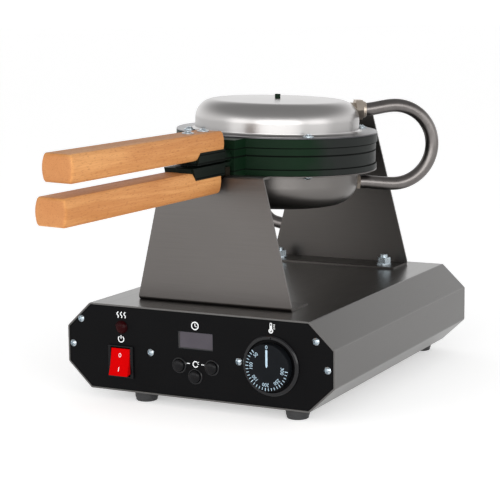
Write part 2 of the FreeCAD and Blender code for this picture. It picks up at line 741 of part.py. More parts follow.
def bubble_places():
    """Centres of the waffle's bubbles, on a triangular grid inside the recess."""
    places = []
    for row in range(-3, 4):
        for column in range(-4, 5):
            x = bubble_pitch * (column + 0.5 * (row % 2))
            y = bubble_pitch * math.sqrt(3) / 2 * row
            if math.hypot(x, y) < recess_r - bubble_r + 1:
                places.append((x, y))
    return places


def pan_casting(up):
    """One mould plate. up is +1 for the upper pan and -1 for the lower one."""
    face_z = split_z + up * face_gap
    flange = upper_flange if up > 0 else lower_flange
    outer_z = flange[1] if up > 0 else flange[0]
    body = rod_z(0, 0, pan_r - body_inset, *sorted((face_z, outer_z)))
    rim = rod_z(0, 0, pan_r, *flange)
    rim = rim.makeFillet(cast_round, [e for e in rim.Edges if e.BoundBox.XLength > pan_r])
    disc = body.fuse(rim)
    neck = box(-neck_half_w, neck_half_w, *neck_y, *sorted((face_z, outer_z)))
    return disc.fuse(neck), face_z, outer_z


def cut_mould(casting, up, face_z):
    recess = Part.makeCone(recess_r, recess_r - 2, recess_d, V(0, 0, face_z), V(0, 0, up))
    casting = casting.cut(recess)
    floor = face_z + up * recess_d
    centre_z = floor - up * (bubble_r - bubble_d)
    for x, y in bubble_places():
        casting = casting.cut(Part.makeSphere(bubble_r, V(x, y, centre_z)))
    return casting


def cut_heater_groove(casting, up, outer_z):
    depth = 3.4
    z0, z1 = sorted((outer_z, outer_z - up * depth))
    groove = rod_z(0, 0, element_r + 8, z0, z1).cut(rod_z(0, 0, element_r - 8, z0, z1))
    return casting.cut(groove)


def handle_arm(up, y_front):
    """Cast channel that holds the wood, its legs turned away from the other arm, and its half journal."""
    web_z = sorted((axis_z + up * web_off, axis_z + up * (web_off + web_t)))
    leg_z = sorted((axis_z + up * web_off, axis_z + up * (web_off + leg_h)))
    web = box(-arm_half_w + 1.7, arm_half_w - 1.7, y_front, arm_end_y, *web_z)
    near, far = axis_z + up * web_off, axis_z + up * (web_off + leg_h)
    legs = []
    for x0 in (-arm_half_w, arm_half_w - arm_wall):
        outline = [(y_front + 1.5, near), (arm_end_y, near), (arm_end_y, far), (y_front + 7.0, far)]
        legs.append(prism_x(outline, x0, x0 + arm_wall))
    wall = box(-arm_half_w, arm_half_w, upper_handle_y[1] + 0.5, arm_end_y, *leg_z)
    half = rod_y(0, axis_z, journal_r, arm_end_y, neck_y[0])
    keep = box(-30, 30, arm_end_y - 1, neck_y[0] + 1, *sorted((axis_z + up * web_off, axis_z + up * 30)))
    return joined([web] + legs + [wall, half.common(keep)])


pin_r = 4.0
knuckle_r = 8.0
knuckle_half_w = 12.4
ear_w = 11.0
lug_top = axis_z - 7.0
boss_r = 10.5
boss_y = (open_hinge_y + knuckle_r + 1.3, 130.0)


def lower_pan():
    """Lower mould plate, with its arm, the hinge ears and the boss that the hollow shaft is fixed in."""
    casting, face_z, outer_z = pan_casting(-1)
    casting = cut_heater_groove(cut_mould(casting, -1, face_z), -1, outer_z)
    outer_x = knuckle_half_w + gap + ear_w
    lug = box(-outer_x, outer_x, 92, boss_y[1] - 4, lower_flange[0], lug_top)
    parts = [casting, lug, handle_arm(-1, lower_arm_y)]
    for x0 in (-outer_x, knuckle_half_w + gap):
        parts.append(box(x0, x0 + ear_w, open_hinge_y - knuckle_r, open_hinge_y + knuckle_r,
                         lug_top - 1, split_z))
        parts.append(rod_x(open_hinge_y, split_z, knuckle_r, x0, x0 + ear_w))
    parts.append(rod_y(0, axis_z, boss_r, *boss_y))
    parts.append(box(-boss_r, boss_r, boss_y[0], boss_y[1], lower_flange[0], axis_z - 6))
    # the neck joins the arm's journal below the split
    neck_front = box(-neck_half_w, neck_half_w, *neck_y, lower_flange[0], axis_z - web_off)
    parts.append(neck_front)
    body = joined(parts)
    body = body.cut(rod_x(open_hinge_y, split_z, pin_r, -60, 60))
    body = body.cut(rod_y(0, axis_z, shaft_bore_r, boss_y[0] - 1, boss_y[1] + 1))
    for y in handle_screw_y:
        body = body.cut(rod_z(0, y, 2.1, axis_z - 10, axis_z))
    return tilted(body.removeSplitter())


def upper_pan():
    """Upper mould plate, with its arm and the knuckle that turns on the hinge pin."""
    casting, face_z, outer_z = pan_casting(1)
    casting = cut_heater_groove(cut_mould(casting, 1, face_z), 1, outer_z)
    knuckle_top = split_z + knuckle_r
    parts = [casting, handle_arm(1, upper_arm_y)]
    parts.append(box(-knuckle_half_w, knuckle_half_w, 92, open_hinge_y, face_z, knuckle_top))
    parts.append(rod_x(open_hinge_y, split_z, knuckle_r, -knuckle_half_w, knuckle_half_w))
    parts.append(box(-neck_half_w, neck_half_w, neck_y[0], neck_y[0] + 12, face_z, upper_flange[1]))
    body = joined(parts)
    body = body.cut(rod_x(open_hinge_y, split_z, pin_r + run_fit, -60, 60))
    for y in handle_screw_y:
        body = body.cut(rod_z(0, y, 2.1, axis_z, axis_z + 10))
    return tilted(body.removeSplitter())


def hinge_pin():
    half = knuckle_half_w + gap + ear_w
    shank = rod_x(open_hinge_y, split_z, pin_r, -half, half + 2)
    head = rod_x(open_hinge_y, split_z, pin_r + 2, -half - 3, -half)
    return tilted(shank.fuse(head).removeSplitter())


def rear_shaft():
    """Hollow shaft: carries the pans at the back and lets the heater wires through."""
    tube = tube_y(0, axis_z, shaft_r, shaft_bore_r, boss_y[1], shaft_end_y)
    spigot = tube_y(0, axis_z, boss_r, shaft_bore_r, boss_y[1], boss_y[1] + 6)
    return tube.fuse(spigot).removeSplitter()


def shaft_collar():
    """Collar with a set screw that keeps the shaft in its bearing."""
    return tube_y(0, axis_z, 13.5, shaft_r + 0.02, rear_upright_y + 4.6, rear_upright_y + 11)


def heating_element(up):
    """Tubular ring element in its groove under the cover, with two cold ends."""
    flange = upper_flange if up > 0 else lower_flange
    outer_z = flange[1] if up > 0 else flange[0]
    z = outer_z + up * (element_tube_r - 3.2)
    ring = Part.makeTorus(element_r, element_tube_r, V(0, 0, z))
    ends = []
    for side in (-1, 1):
        angle = math.radians(conduit_angle + side * 9)
        foot = V(element_r * math.cos(angle), element_r * math.sin(angle), z)
        ends.append(Part.makeCylinder(2.4, 13, foot, V(0, 0, up)))
    return tilted(joined([ring] + ends))


def insulation_disc(up):
    """Ceramic-fibre disc over the element, cut away for its cold ends."""
    flange = upper_flange if up > 0 else lower_flange
    outer_z = flange[1] if up > 0 else flange[0]
    z0 = outer_z + up * 6.5
    disc = rod_z(0, 0, 72, *sorted((z0, z0 + up * 10)))
    a = math.radians(conduit_angle)
    cut = rod_z(element_r * math.cos(a), element_r * math.sin(a), 20, *sorted((z0 - up, z0 + up * 20)))
    return tilted(disc.cut(cut))


upper_dome_h = 30.6
lower_dome_h = 36.6
upper_shoulder = 19.0
lower_shoulder = 23.0
crown_rise = 1.0
stud_r = 2.0
dome_wall = 1.0
conduit_angle = 36.0                              # where the conduit leaves the covers, from +X towards +Y
upper_union_z = split_z + 37.0
lower_union_z = split_z - 36.0


def dome_profile(up, r, shoulder, rim_z, height, inner):
    """Closed outline of one spun skin: rim, wall, rounded shoulder and slightly crowned top."""
    def p(x, z):
        return V(x, 0, rim_z + up * z)
    s = math.sqrt(0.5)
    wall_top = height - crown_rise - shoulder
    flat_r = r - shoulder
    crown_r = (flat_r ** 2 + crown_rise ** 2) / (2 * crown_rise)
    half_drop = crown_r - math.sqrt(crown_r ** 2 - (flat_r / 2) ** 2)
    edges = [line(p(0, inner), p(r, inner)), line(p(r, inner), p(r, wall_top)),
             arc(p(r, wall_top), p(flat_r + shoulder * s, wall_top + shoulder * s), p(flat_r, height - crown_rise)),
             arc(p(flat_r, height - crown_rise), p(flat_r / 2, height - half_drop), p(0, height)),
             line(p(0, height), p(0, inner))]
    return edges


def dome_cover(up):
    """Spun stainless cover with a flat rim on the pan's flange."""
    flange = upper_flange if up > 0 else lower_flange
    outer_z = flange[1] if up > 0 else flange[0]
    height = upper_dome_h if up > 0 else lower_dome_h
    shoulder = upper_shoulder if up > 0 else lower_shoulder
    rim_z = outer_z + up * rim_t
    skin = spun(dome_profile(up, dome_r, shoulder, rim_z, height, 0), 0, 0)
    rim = rod_z(0, 0, pan_r, *sorted((outer_z, rim_z)))
    skin = skin.fuse(rim)
    hollow = spun(dome_profile(up, dome_r - dome_wall, shoulder - dome_wall, rim_z, height - dome_wall,
                               -rim_t), 0, 0)
    skin = skin.cut(hollow)
    for angle in cover_screw_angles:
        a = math.radians(angle)
        x, y = cover_screw_r * math.cos(a), cover_screw_r * math.sin(a)
        skin = skin.cut(rod_z(x, y, 2.2, rim_z - 5, rim_z + 5))
    skin = skin.cut(union_body(up, 0.05))
    if up > 0:
        skin = skin.cut(rod_z(0, 0, stud_r + 0.02, rim_z + height - 6, rim_z + height + 1))
    return tilted(skin.removeSplitter())


def union_frame(up):
    """Outward direction of the conduit unions and the point where they meet the cover."""
    a = math.radians(conduit_angle)
    outward = V(math.cos(a), math.sin(a), 0)
    z = upper_union_z if up > 0 else lower_union_z
    start = 70.0 if up > 0 else 74.0
    return outward, outward * start + V(0, 0, z)


union_end = 99.0                                  # distance of the unions' outer ends from the pans' centre


def union_body(up, grow=0.0):
    outward, start = union_frame(up)
    length = union_end - 8 - start.dot(outward)
    return Part.makeCylinder(7.4 + grow, length, start, outward)


def conduit_union(up):
    """Brass union: threaded body through the cover, hex, and the ferrule round the hose's end."""
    outward, start = union_frame(up)
    reach = start.dot(outward)
    core = union_body(up)
    hex_len, ferrule_len = (11.0, 6.0) if up > 0 else (7.0, 5.0)
    hex_size = 21.0 if up > 0 else 17.0
    hex_start = start + outward * (union_end - ferrule_len - hex_len - reach)
    nut = hexagon(hex_size, hex_len, hex_start, outward)
    bevel = Part.makeCone(hex_size / 2 * 1.02, hex_size / 2 * 1.02 + hex_len, hex_len, hex_start, outward)
    rest = Part.makeCylinder(hex_size, hex_len - 0.01, hex_start + outward * 1.2, outward)
    nut = nut.common(bevel.fuse(rest))
    ferrule = Part.makeCylinder(8.6, ferrule_len, hex_start + outward * hex_len, outward)
    body = joined([core, nut, ferrule])
    bore = Part.makeCylinder(4.6, 60, start - outward, outward)
    return tilted(body.cut(bore))


def conduit_hose():
    """Flexible metal hose, bent in a half circle from the upper union round to the lower one."""
    a = math.radians(conduit_angle)
    outward = V(math.cos(a), math.sin(a), 0)
    loop_r = (upper_hose_z - lower_hose_z) / 2
    centre_z = (upper_hose_z + lower_hose_z) / 2
    bend_at = 121.0
    top_start = outward * union_end + V(0, 0, upper_union_z)
    top_bend = outward * bend_at + V(0, 0, upper_hose_z)
    far = outward * (bend_at + loop_r) + V(0, 0, centre_z)
    low_bend = outward * bend_at + V(0, 0, lower_hose_z)
    low_start = outward * union_end + V(0, 0, lower_union_z)
    edges = s_bend(top_start, top_bend, outward) + [arc(top_bend, far, low_bend)]
    edges += s_bend(low_bend, low_start, -outward)
    return tilted(swept_tube(Part.Wire(edges), hose_r))


upper_hose_z = split_z + 41.5
lower_hose_z = split_z - 38.0


def s_bend(a, b, direction):
    """Two equal arcs that leave a and reach b along the same direction."""
    middle = (a + b) * 0.5
    run = (b - a).dot(direction)
    side = (b - a) - direction * run
    rise = side.Length
    if rise < 1e-6:
        return [line(a, b)]
    radius = (run ** 2 + rise ** 2) / (4 * rise)
    up = side.normalize()
    first_centre = a + up * radius
    second_centre = b - up * radius
    quarter = 0.5 * math.atan2(rise, run)

    def on_first(t):
        return first_centre + direction * (radius * math.sin(t)) - up * (radius * math.cos(t))

    def on_second(t):
        return second_centre - direction * (radius * math.sin(t)) + up * (radius * math.cos(t))

    return [arc(a, on_first(quarter), middle), arc(middle, on_second(quarter), b)]


def cover_screws(up):
    """Screws with washers that hold each cover's rim to its flange."""
    flange = upper_flange if up > 0 else lower_flange
    outer_z = flange[1] if up > 0 else flange[0]
    rim_z = outer_z + up * rim_t
    screw = pan_head_screw(0, 0, 0, 4.0, 2.4, 2.0, 6.5)
    solids = []
    for angle in cover_screw_angles:
        a = math.radians(angle)
        x, y = cover_screw_r * math.cos(a), cover_screw_r * math.sin(a)
        washer = rod_z(x, y, 5.6, *sorted((rim_z, rim_z + up * 0.9)))
        placed = place_upright(screw, V(x, y, rim_z + up * 0.9), flip=up < 0)
        solids.append(placed.fuse(washer).removeSplitter())
    return tilted(group(solids))


def cut_cover_screw_holes(casting_node, up):
    flange = upper_flange if up > 0 else lower_flange
    for angle in cover_screw_angles:
        a = math.radians(angle)
        x, y = cover_screw_r * math.cos(a), cover_screw_r * math.sin(a)
        z0 = flange[0] - 1 if up < 0 else flange[1] - 6
        hole = rod_z(x, y, 2.02, z0, z0 + 7)
        casting_node = casting_node.cut(tilted(hole))
    return casting_node


def crown_stud():
    top = upper_flange[1] + rim_t + upper_dome_h
    stud = rod_z(0, 0, 2.8, top, top + 4.2)
    stud = stud.makeFillet(0.5, [e for e in stud.Edges if e.BoundBox.ZMin > top + 4])
    return tilted(stud.fuse(rod_z(0, 0, stud_r, top - 5, top)).removeSplitter())


def wood_handle(up, span):
    """Beech grip: flat top and bottom, bowed sides, softened ends, rebated where the arm holds it."""
    y0, y1 = span
    near = axis_z + up * handle_off
    far = axis_z + up * (handle_off + handle_h)
    mid = (near + far) / 2
    edges = [line(V(-handle_half_flat, y0, near), V(handle_half_flat, y0, near)),
             arc(V(handle_half_flat, y0, near), V(handle_half_mid, y0, mid), V(handle_half_flat, y0, far)),
             line(V(handle_half_flat, y0, far), V(-handle_half_flat, y0, far)),
             arc(V(-handle_half_flat, y0, far), V(-handle_half_mid, y0, mid), V(-handle_half_flat, y0, near))]
    body = Part.Face(Part.Wire(edges)).extrude(V(0, y1 - y0, 0))
    ends = [e for e in body.Edges if e.BoundBox.YLength < 0.01]
    body = body.makeFillet(2.4, [e for e in ends if e.BoundBox.YMin < y0 + 1])
    y_front = upper_arm_y if up > 0 else lower_arm_y
    leg_far = axis_z + up * (web_off + leg_h)
    for side in (-1, 1):
        x0, x1 = sorted((side * (arm_half_w - arm_wall - 0.02), side * (arm_half_w + 5)))
        outline = [(y_front + 1.2, near - up), (y1 + 1, near - up),
                   (y1 + 1, leg_far), (y_front + 6.8, leg_far)]
        body = body.cut(prism_x(outline, x0, x1))
    for y in handle_screw_y:
        body = body.cut(rod_z(0, y, 2.0, axis_z - 60, axis_z + 60))
    return tilted(body)


def handle_screws(up):
    """Two screws with washers through each handle into its arm."""
    far = axis_z + up * (handle_off + handle_h)
    length = handle_h + web_t + 0.5
    screw = pan_head_screw(0, 0, 0, 4.0, 1.8, 2.0, length)
    solids = []
    for y in handle_screw_y:
        washer = rod_z(0, y, 5.6, *sorted((far, far + up * 0.8)))
        placed = place_upright(screw, V(0, y, far + up * 0.8), flip=up < 0)
        solids.append(placed.fuse(washer).removeSplitter())
    return tilted(group(solids))


# ---------------------------------------------------------------- assembly
def build():
    nodes["base_housing"] = base_housing()
    nodes["bottom_plate"] = bottom_plate()
    nodes["bottom_plate_screws"] = bottom_plate_screws()
    nodes["feet"] = feet()
    nodes["foot_screws"] = foot_screws()
    nodes["front_panel"] = front_panel()
    nodes["rear_panel"] = rear_panel()
    nodes["panel_fixings"] = panel_fixings()
    nodes["cable_gland"] = cable_gland()
    nodes["rocker_switch_body"] = rocker_switch_body()
    nodes["rocker"] = rocker()
    nodes["indicator_lamp"] = indicator_lamp()
    nodes["display_window"] = display_window()
    nodes["display_module"] = display_module()
    nodes["timer_board"] = timer_board()
    nodes["board_standoffs"] = board_standoffs()
    nodes["button_rings"] = button_rings()
    for name, place in button_places.items():
        nodes["button_cap_" + name] = button_cap(*place)
    nodes["knob_index_ring"] = knob_index_ring()
    nodes["knob"] = knob()
    nodes["thermostat_shaft"] = thermostat_shaft()
    nodes["thermostat_body"] = thermostat_body()
    nodes["thermostat_capillary"] = thermostat_capillary()
    nodes["terminal_block"] = terminal_block()
    nodes["power_relay"] = power_relay()
    nodes["wiring_looms"] = wiring_looms()
    nodes["front_upright"] = front_upright()
    nodes["rear_upright"] = rear_upright()
    nodes["upright_bolts"] = upright_bolts()
    nodes["upright_nuts"] = upright_nuts()
    nodes["front_saddle"] = front_saddle()
    nodes["saddle_screws"] = saddle_screws()
    nodes["rear_bearing"] = rear_bearing()
    nodes["shaft_cap"] = shaft_cap()
    nodes["base_conduit"] = base_conduit()
    nodes["base_conduit_unions"] = base_conduit_unions()
    nodes["rear_shaft"] = rear_shaft()
    nodes["shaft_collar"] = shaft_collar()
    nodes["hinge_pin"] = hinge_pin()
    nodes["conduit_hose"] = conduit_hose()
    nodes["crown_stud"] = crown_stud()
    nodes["lower_pan"] = cut_cover_screw_holes(lower_pan(), -1)
    nodes["upper_pan"] = cut_cover_screw_holes(upper_pan(), 1)
    for side, up, span in (("lower", -1, lower_handle_y), ("upper", 1, upper_handle_y)):
        nodes[side + "_element"] = heating_element(up)
        nodes[side + "_insulation"] = insulation_disc(up)
        nodes[side + "_cover"] = dome_cover(up)
        nodes[side + "_cover_screws"] = cover_screws(up)
        nodes[side + "_union"] = conduit_union(up)
        nodes[side + "_handle"] = wood_handle(up, span)
        nodes[side + "_handle_screws"] = handle_screws(up)


def export():
    os.makedirs("parts", exist_ok=True)
    for name, shape in nodes.items():
        shape.exportStep("parts/" + name + ".step")
        print(name, "solids", len(shape.Solids), "volume", round(shape.Volume), "valid", shape.isValid())


build()
export()
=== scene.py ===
import math
import bmesh
import bpy
from mathutils import Matrix, Quaternion, Vector


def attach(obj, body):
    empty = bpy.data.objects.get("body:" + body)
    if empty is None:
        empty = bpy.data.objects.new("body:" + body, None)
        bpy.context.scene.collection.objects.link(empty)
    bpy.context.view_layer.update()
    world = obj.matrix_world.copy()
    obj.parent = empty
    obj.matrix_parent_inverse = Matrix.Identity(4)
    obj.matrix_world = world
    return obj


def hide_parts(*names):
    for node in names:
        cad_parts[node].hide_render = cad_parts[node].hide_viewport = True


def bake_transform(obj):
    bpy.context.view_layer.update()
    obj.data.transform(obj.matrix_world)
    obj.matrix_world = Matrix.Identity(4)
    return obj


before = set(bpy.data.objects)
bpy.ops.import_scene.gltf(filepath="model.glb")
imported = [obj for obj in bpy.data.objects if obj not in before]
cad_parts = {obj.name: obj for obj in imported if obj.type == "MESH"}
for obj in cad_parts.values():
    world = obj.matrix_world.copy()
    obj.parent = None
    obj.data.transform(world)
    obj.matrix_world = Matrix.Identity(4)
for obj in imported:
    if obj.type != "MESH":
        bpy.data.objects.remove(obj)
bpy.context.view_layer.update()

# Lengths are in millimetres in the CAD's frame, and each mesh is scaled to metres when it is made.
toMetres = Matrix.Scale(0.001, 4)
axisZ = 229.0      # flip axis
splitZ = 231.4     # where the two pans meet
panelY = -172.5    # front face of the black panel
leanAngle = math.radians(1.8)
lean = (Matrix.Translation((0, 0, axisZ)) @ Matrix.Rotation(leanAngle, 4, "Y")
        @ Matrix.Translation((0, 0, -axisZ)))    # how the pans rest, right side down
outward = Matrix.Rotation(math.pi / 2, 4, "X")   # local z to the front, local y up
print("stage: frame loaded")


def connect(tree, socket, item):
    if isinstance(item, Value):
        tree.links.new(item.socket, socket)
    elif item is not None:
        socket.default_value = item


def addNode(tree, kind, settings=None, inputs=None, output=0):
    made = tree.nodes.new("ShaderNode" + kind)
    for word, item in (settings or {}).items():
        setattr(made, word, item)
    for key, item in (inputs or {}).items():
        connect(tree, made.inputs[key], item)
    return Value(tree, made.outputs[output])


class Value:
    # one shader output that takes part in ordinary arithmetic
    def __init__(self, tree, socket):
        self.tree = tree
        self.socket = socket

    def maths(self, operation, *items):
        return addNode(self.tree, "Math", {"operation": operation}, dict(enumerate(items)))

    def __add__(self, other):
        return self.maths("ADD", self, other)

    def __radd__(self, other):
        return self.maths("ADD", other, self)

    def __sub__(self, other):
        return self.maths("SUBTRACT", self, other)

    def __rsub__(self, other):
        return self.maths("SUBTRACT", other, self)

    def __mul__(self, other):
        return self.maths("MULTIPLY", self, other)

    def __rmul__(self, other):
        return self.maths("MULTIPLY", other, self)

    def __pow__(self, other):
        return self.maths("POWER", self, other)

    def rise(self, low, high):    # 0 below low, 1 above high
        return addNode(self.tree, "MapRange", {"interpolation_type": "SMOOTHSTEP"},
                       {0: self, 1: low, 2: high, 3: 0, 4: 1})


class Finish:
    def __init__(self, name, **constants):
        self.material = bpy.data.materials.new(name)
        self.material.use_nodes = True
        self.tree = self.material.node_tree
        self.shader = self.tree.nodes["Principled BSDF"]
        for word, item in constants.items():
            self.set(word.replace("_", " ").title(), item)

    def set(self, socket, item):
        connect(self.tree, self.shader.inputs[socket], item)

    def node(self, kind, settings=None, inputs=None, output=0):
        return addNode(self.tree, kind, settings, inputs, output)

    def spot(self):
        return self.node("TexCoord", output="Object")

    def axes(self):    # x, y and z in metres
        return [self.node("SeparateXYZ", None, {0: self.spot()}, i) for i in range(3)]

    def vector(self, x, y, z):
        return self.node("CombineXYZ", None, {0: x, 1: y, 2: z})

    def noise(self, per, detail=2.0, rough=0.5, warp=0.0, at=None):
        # per: features a metre, as one number or one for each axis
        per = (per, per, per) if isinstance(per, float) else per
        place = self.node("VectorMath", {"operation": "MULTIPLY"}, {0: at or self.spot(), 1: per})
        return self.node("TexNoise", None, {"Vector": place, "Scale": 1.0, "Detail": detail,
                                            "Roughness": rough, "Distortion": warp})

    def mix(self, factor, a, b):
        return self.node("Mix", {"data_type": "RGBA"}, {0: factor, 6: a, 7: b}, 2)

    def bump(self, height, distance, strength=1.0):
        self.set("Normal", self.node("Bump", None, {"Strength": strength, "Distance": distance,
                                                     "Height": height}))
        return self


def shade(r, g, b):
    return (r, g, b, 1.0)


def brushedSteel(name, along, dark, light, rough):
    # rolled sheet: fine streaks along one axis over slow cloudy patches
    finish = Finish(name, metallic=1.0)
    per = [1500.0, 1500.0, 1500.0]
    per[along] = 14.0
    streak = finish.noise(per, 3.0, 0.6)
    cloud = finish.noise(7.0, 3.0)
    finish.set("Base Color", finish.mix(streak * 0.55 + cloud * 0.45, dark, light))
    finish.set("Roughness", rough + streak * 0.13 + cloud * 0.07 - 0.1)
    return finish.bump(streak, 0.00003, 0.4)


def spunSteel(name, dark, light, rim, rough):
    # turned on a lathe: faint rings round the pan's centre, and a darker rim
    finish = Finish(name, metallic=1.0)
    x, y, z = finish.axes()
    radius = (x * x + y * y) ** 0.5
    rings = finish.noise((900.0, 900.0, 3.0), 2.0, 0.6, 0.0, finish.vector(radius, z, 0.0))
    cloud = finish.noise(11.0, 3.0)
    onRim = radius.rise(0.0845, 0.0865)
    body = finish.mix(rings * 0.25 + cloud * 0.75, dark, light)
    finish.set("Base Color", finish.mix(onRim, body, rim))
    finish.set("Roughness", rough + rings * 0.05 + cloud * 0.08 - 0.06)
    return finish.bump(rings, 0.00001, 0.2)


def plated(name, dark, light, rough):
    finish = Finish(name, metallic=1.0)
    cloud = finish.noise(160.0, 3.0)
    finish.set("Base Color", finish.mix(cloud, dark, light))
    finish.set("Roughness", rough + cloud * 0.16 - 0.08)
    return finish.bump(finish.noise(900.0, 2.0), 0.00003, 0.3)


def painted(name, dark, light, grain, depth, gloss):
    # thick paint over a surface with its own grain: the finish, its tint and the two noises it is made of
    finish = Finish(name)
    finish.set("Specular IOR Level", gloss)
    cloud = finish.noise(22.0, 3.0)
    pebble = finish.noise(grain, 3.0, 0.6)
    finish.bump(pebble, depth, 0.5)
    return finish, finish.mix(cloud, dark, light), cloud, pebble


def coatedPanel(name, dark, light, rough):
    finish, tint, cloud, pebble = painted(name, dark, light, 1500.0, 0.00003, 0.06)
    finish.set("Base Color", tint)
    finish.set("Roughness", rough + pebble * 0.16 + cloud * 0.1 - 0.13)
    return finish


def castEnamel(name):
    # green on the pans' fronts, with painted shade turning it to charcoal round the right side, and black on
    # the arms
    green = shade(0.003, 0.012, 0.005), shade(0.005, 0.019, 0.008)
    finish, tint = painted(name, *green, 420.0, 0.0001, 0.06)[:2]
    x, y, z = finish.axes()
    raggedEdge = finish.noise(30.0, 2.0) * 0.03
    # painted shade: round the right side the green is mixed to charcoal, where less light falls; a little noise
    # roughens the edge of this shade and of the arms' black
    side = finish.mix((x + raggedEdge).rise(0.084, 0.102), tint, shade(0.016, 0.018, 0.017))
    arms = 1 - (y + raggedEdge).rise(-0.125, -0.095)
    level = (z + x * math.tan(leanAngle)) * 1000.0
    seams = 0.0
    for height, half in ((218.6, 0.55), (splitZ, 0.8), (238.9, 0.55)):    # shadowed joints between the rings
        gap = level - height
        seams = 1 - (gap * gap).rise(half * half * 0.4, half * half * 1.6) + seams
    body = finish.mix(arms, side, shade(0.005, 0.008, 0.006))
    finish.set("Base Color", finish.mix(seams * 0.85, body, shade(0.0012, 0.0016, 0.0013)))
    finish.set("Roughness", 0.4 + seams * 0.35)
    return finish


def moulded(name, dark, light, rough, coat=0.0, gloss=0.5):
    finish = Finish(name, coat_weight=coat)
    finish.set("Specular IOR Level", gloss)
    cloud = finish.noise(60.0, 2.0)
    grain = finish.noise(2200.0, 1.0)
    finish.set("Base Color", finish.mix(cloud, dark, light))
    finish.set("Roughness", rough + cloud * 0.1 - 0.05)
    return finish.bump(grain, 0.00002, 0.25)


def beechWood(name):
    # steamed beech: long soft bands, short dark rays and fine pores along the grain
    wood = {"pale": shade(0.62, 0.305, 0.108), "warm": shade(0.45, 0.182, 0.053),
            "fleck": shade(0.27, 0.095, 0.032), "end": shade(0.42, 0.175, 0.06)}
    finish = Finish(name)
    finish.set("Specular IOR Level", 0.22)
    band = finish.noise((46.0, 3.2, 60.0), 4.0, 0.62, 1.2)
    fibre = finish.noise((620.0, 16.0, 620.0), 3.0, 0.7)
    pore = finish.noise((1250.0, 210.0, 1250.0), 2.0, 0.5).rise(0.56, 0.68)
    along = finish.node("SeparateXYZ", None, {0: finish.node("TexCoord", output="Normal")}, 1)
    ends = (along * along).rise(0.45, 0.95)
    cloud = finish.noise((14.0, 9.0, 14.0), 2.0)
    tone = (band * 1.1 + fibre * 0.5 + cloud * 0.4 - 0.5).rise(0.14, 0.72)
    body = finish.mix(ends * 0.8, finish.mix(tone, wood["pale"], wood["warm"]), wood["end"])
    finish.set("Base Color", finish.mix(pore * 0.42, body, wood["fleck"]))
    finish.set("Roughness", 0.46 + fibre * 0.16 + pore * 0.1)
    return finish.bump(fibre * 0.6 - pore, 0.00012, 0.35)


def feltedFibre(name):
    finish = Finish(name, roughness=0.95)
    fluff = finish.noise((260.0, 260.0, 900.0), 4.0, 0.7)
    finish.set("Base Color", finish.mix(fluff, shade(0.62, 0.6, 0.54), shade(0.88, 0.87, 0.82)))
    return finish.bump(fluff, 0.0006, 0.6)


finishes = {
    "upright": brushedSteel("brushedUpright", 0, shade(0.095, 0.088, 0.084), shade(0.148, 0.138, 0.132), 0.36),
    # painted shade: a darker copy of the upright's brushed steel for the rear upright, which stands in shade
    # behind the pans
    "shadedRearUpright": brushedSteel("shadedUprightCopy", 0, shade(0.062, 0.057, 0.053), shade(0.10, 0.093, 0.088), 0.38),
    "housing": brushedSteel("brushedHousing", 1, shade(0.104, 0.101, 0.098), shade(0.150, 0.146, 0.142), 0.30),
    "dome": spunSteel("spunDome", shade(0.36, 0.348, 0.343), shade(0.44, 0.43, 0.425),
                      shade(0.10, 0.098, 0.105), 0.29),
    # the lower dome gets a darker copy of the spun steel
    "lowerDome": spunSteel("darkerSpunDome", shade(0.12, 0.113, 0.107), shade(0.18, 0.17, 0.163),
                           shade(0.14, 0.13, 0.125), 0.33),
    "cast": castEnamel("castEnamel"),
    "panel": coatedPanel("blackPanel", shade(0.0015, 0.0015, 0.0018), shade(0.003, 0.003, 0.0035), 0.44),
    "zinc": plated("zincPlate", shade(0.36, 0.42, 0.46), shade(0.54, 0.60, 0.64), 0.28),
    "nickel": plated("nickelPlate", shade(0.40, 0.34, 0.285), shade(0.62, 0.55, 0.47), 0.36),
    # a near-black bronze for the saddle and the bearing
    "bronze": plated("darkBronze", shade(0.02, 0.015, 0.01), shade(0.035, 0.026, 0.016), 0.45),
    "hose": plated("conduitMetal", shade(0.125, 0.115, 0.11), shade(0.19, 0.176, 0.17), 0.30),
    "copper": plated("copperTube", shade(0.52, 0.22, 0.11), shade(0.74, 0.38, 0.22), 0.35),
    "sheath": plated("heatedSheath", shade(0.14, 0.11, 0.10), shade(0.26, 0.21, 0.19), 0.5),
    "rubber": moulded("blackRubber", shade(0.010, 0.010, 0.011), shade(0.02, 0.02, 0.021), 0.62),
    "black": moulded("blackPlastic", shade(0.004, 0.004, 0.0045), shade(0.007, 0.007, 0.008), 0.26, 0.0, 0.12),
    "ring": moulded("ringPlastic", shade(0.004, 0.004, 0.005), shade(0.007, 0.007, 0.008), 0.2, 0.0, 0.3),
    "dial": moulded("dialPlastic", shade(0.004, 0.005, 0.006), shade(0.007, 0.008, 0.010), 0.36, 0.0, 0.06),
    "red": moulded("redPlastic", shade(0.465, 0.001, 0.0015), shade(0.54, 0.0015, 0.002), 0.22, 0.0, 0.0),
    "lens": moulded("redLens", shade(0.010, 0.001, 0.0015), shade(0.022, 0.0015, 0.002), 0.12, 0.0, 0.05),
    "screen": moulded("greyScreen", shade(0.046, 0.040, 0.050), shade(0.060, 0.053, 0.065), 0.2, 0.0, 0.3),
    "white": moulded("whitePrint", shade(0.72, 0.74, 0.75), shade(0.85, 0.86, 0.87), 0.5),
    "blueWhite": moulded("dialPrint", shade(0.34, 0.47, 0.56), shade(0.42, 0.56, 0.66), 0.5),
    "plasticWhite": moulded("whitePlastic", shade(0.66, 0.66, 0.62), shade(0.80, 0.80, 0.76), 0.5),
    "board": moulded("circuitBoard", shade(0.01, 0.10, 0.03), shade(0.02, 0.16, 0.05), 0.4),
    "wood": beechWood("beech"),
    "fibre": feltedFibre("ceramicFibre"),
}

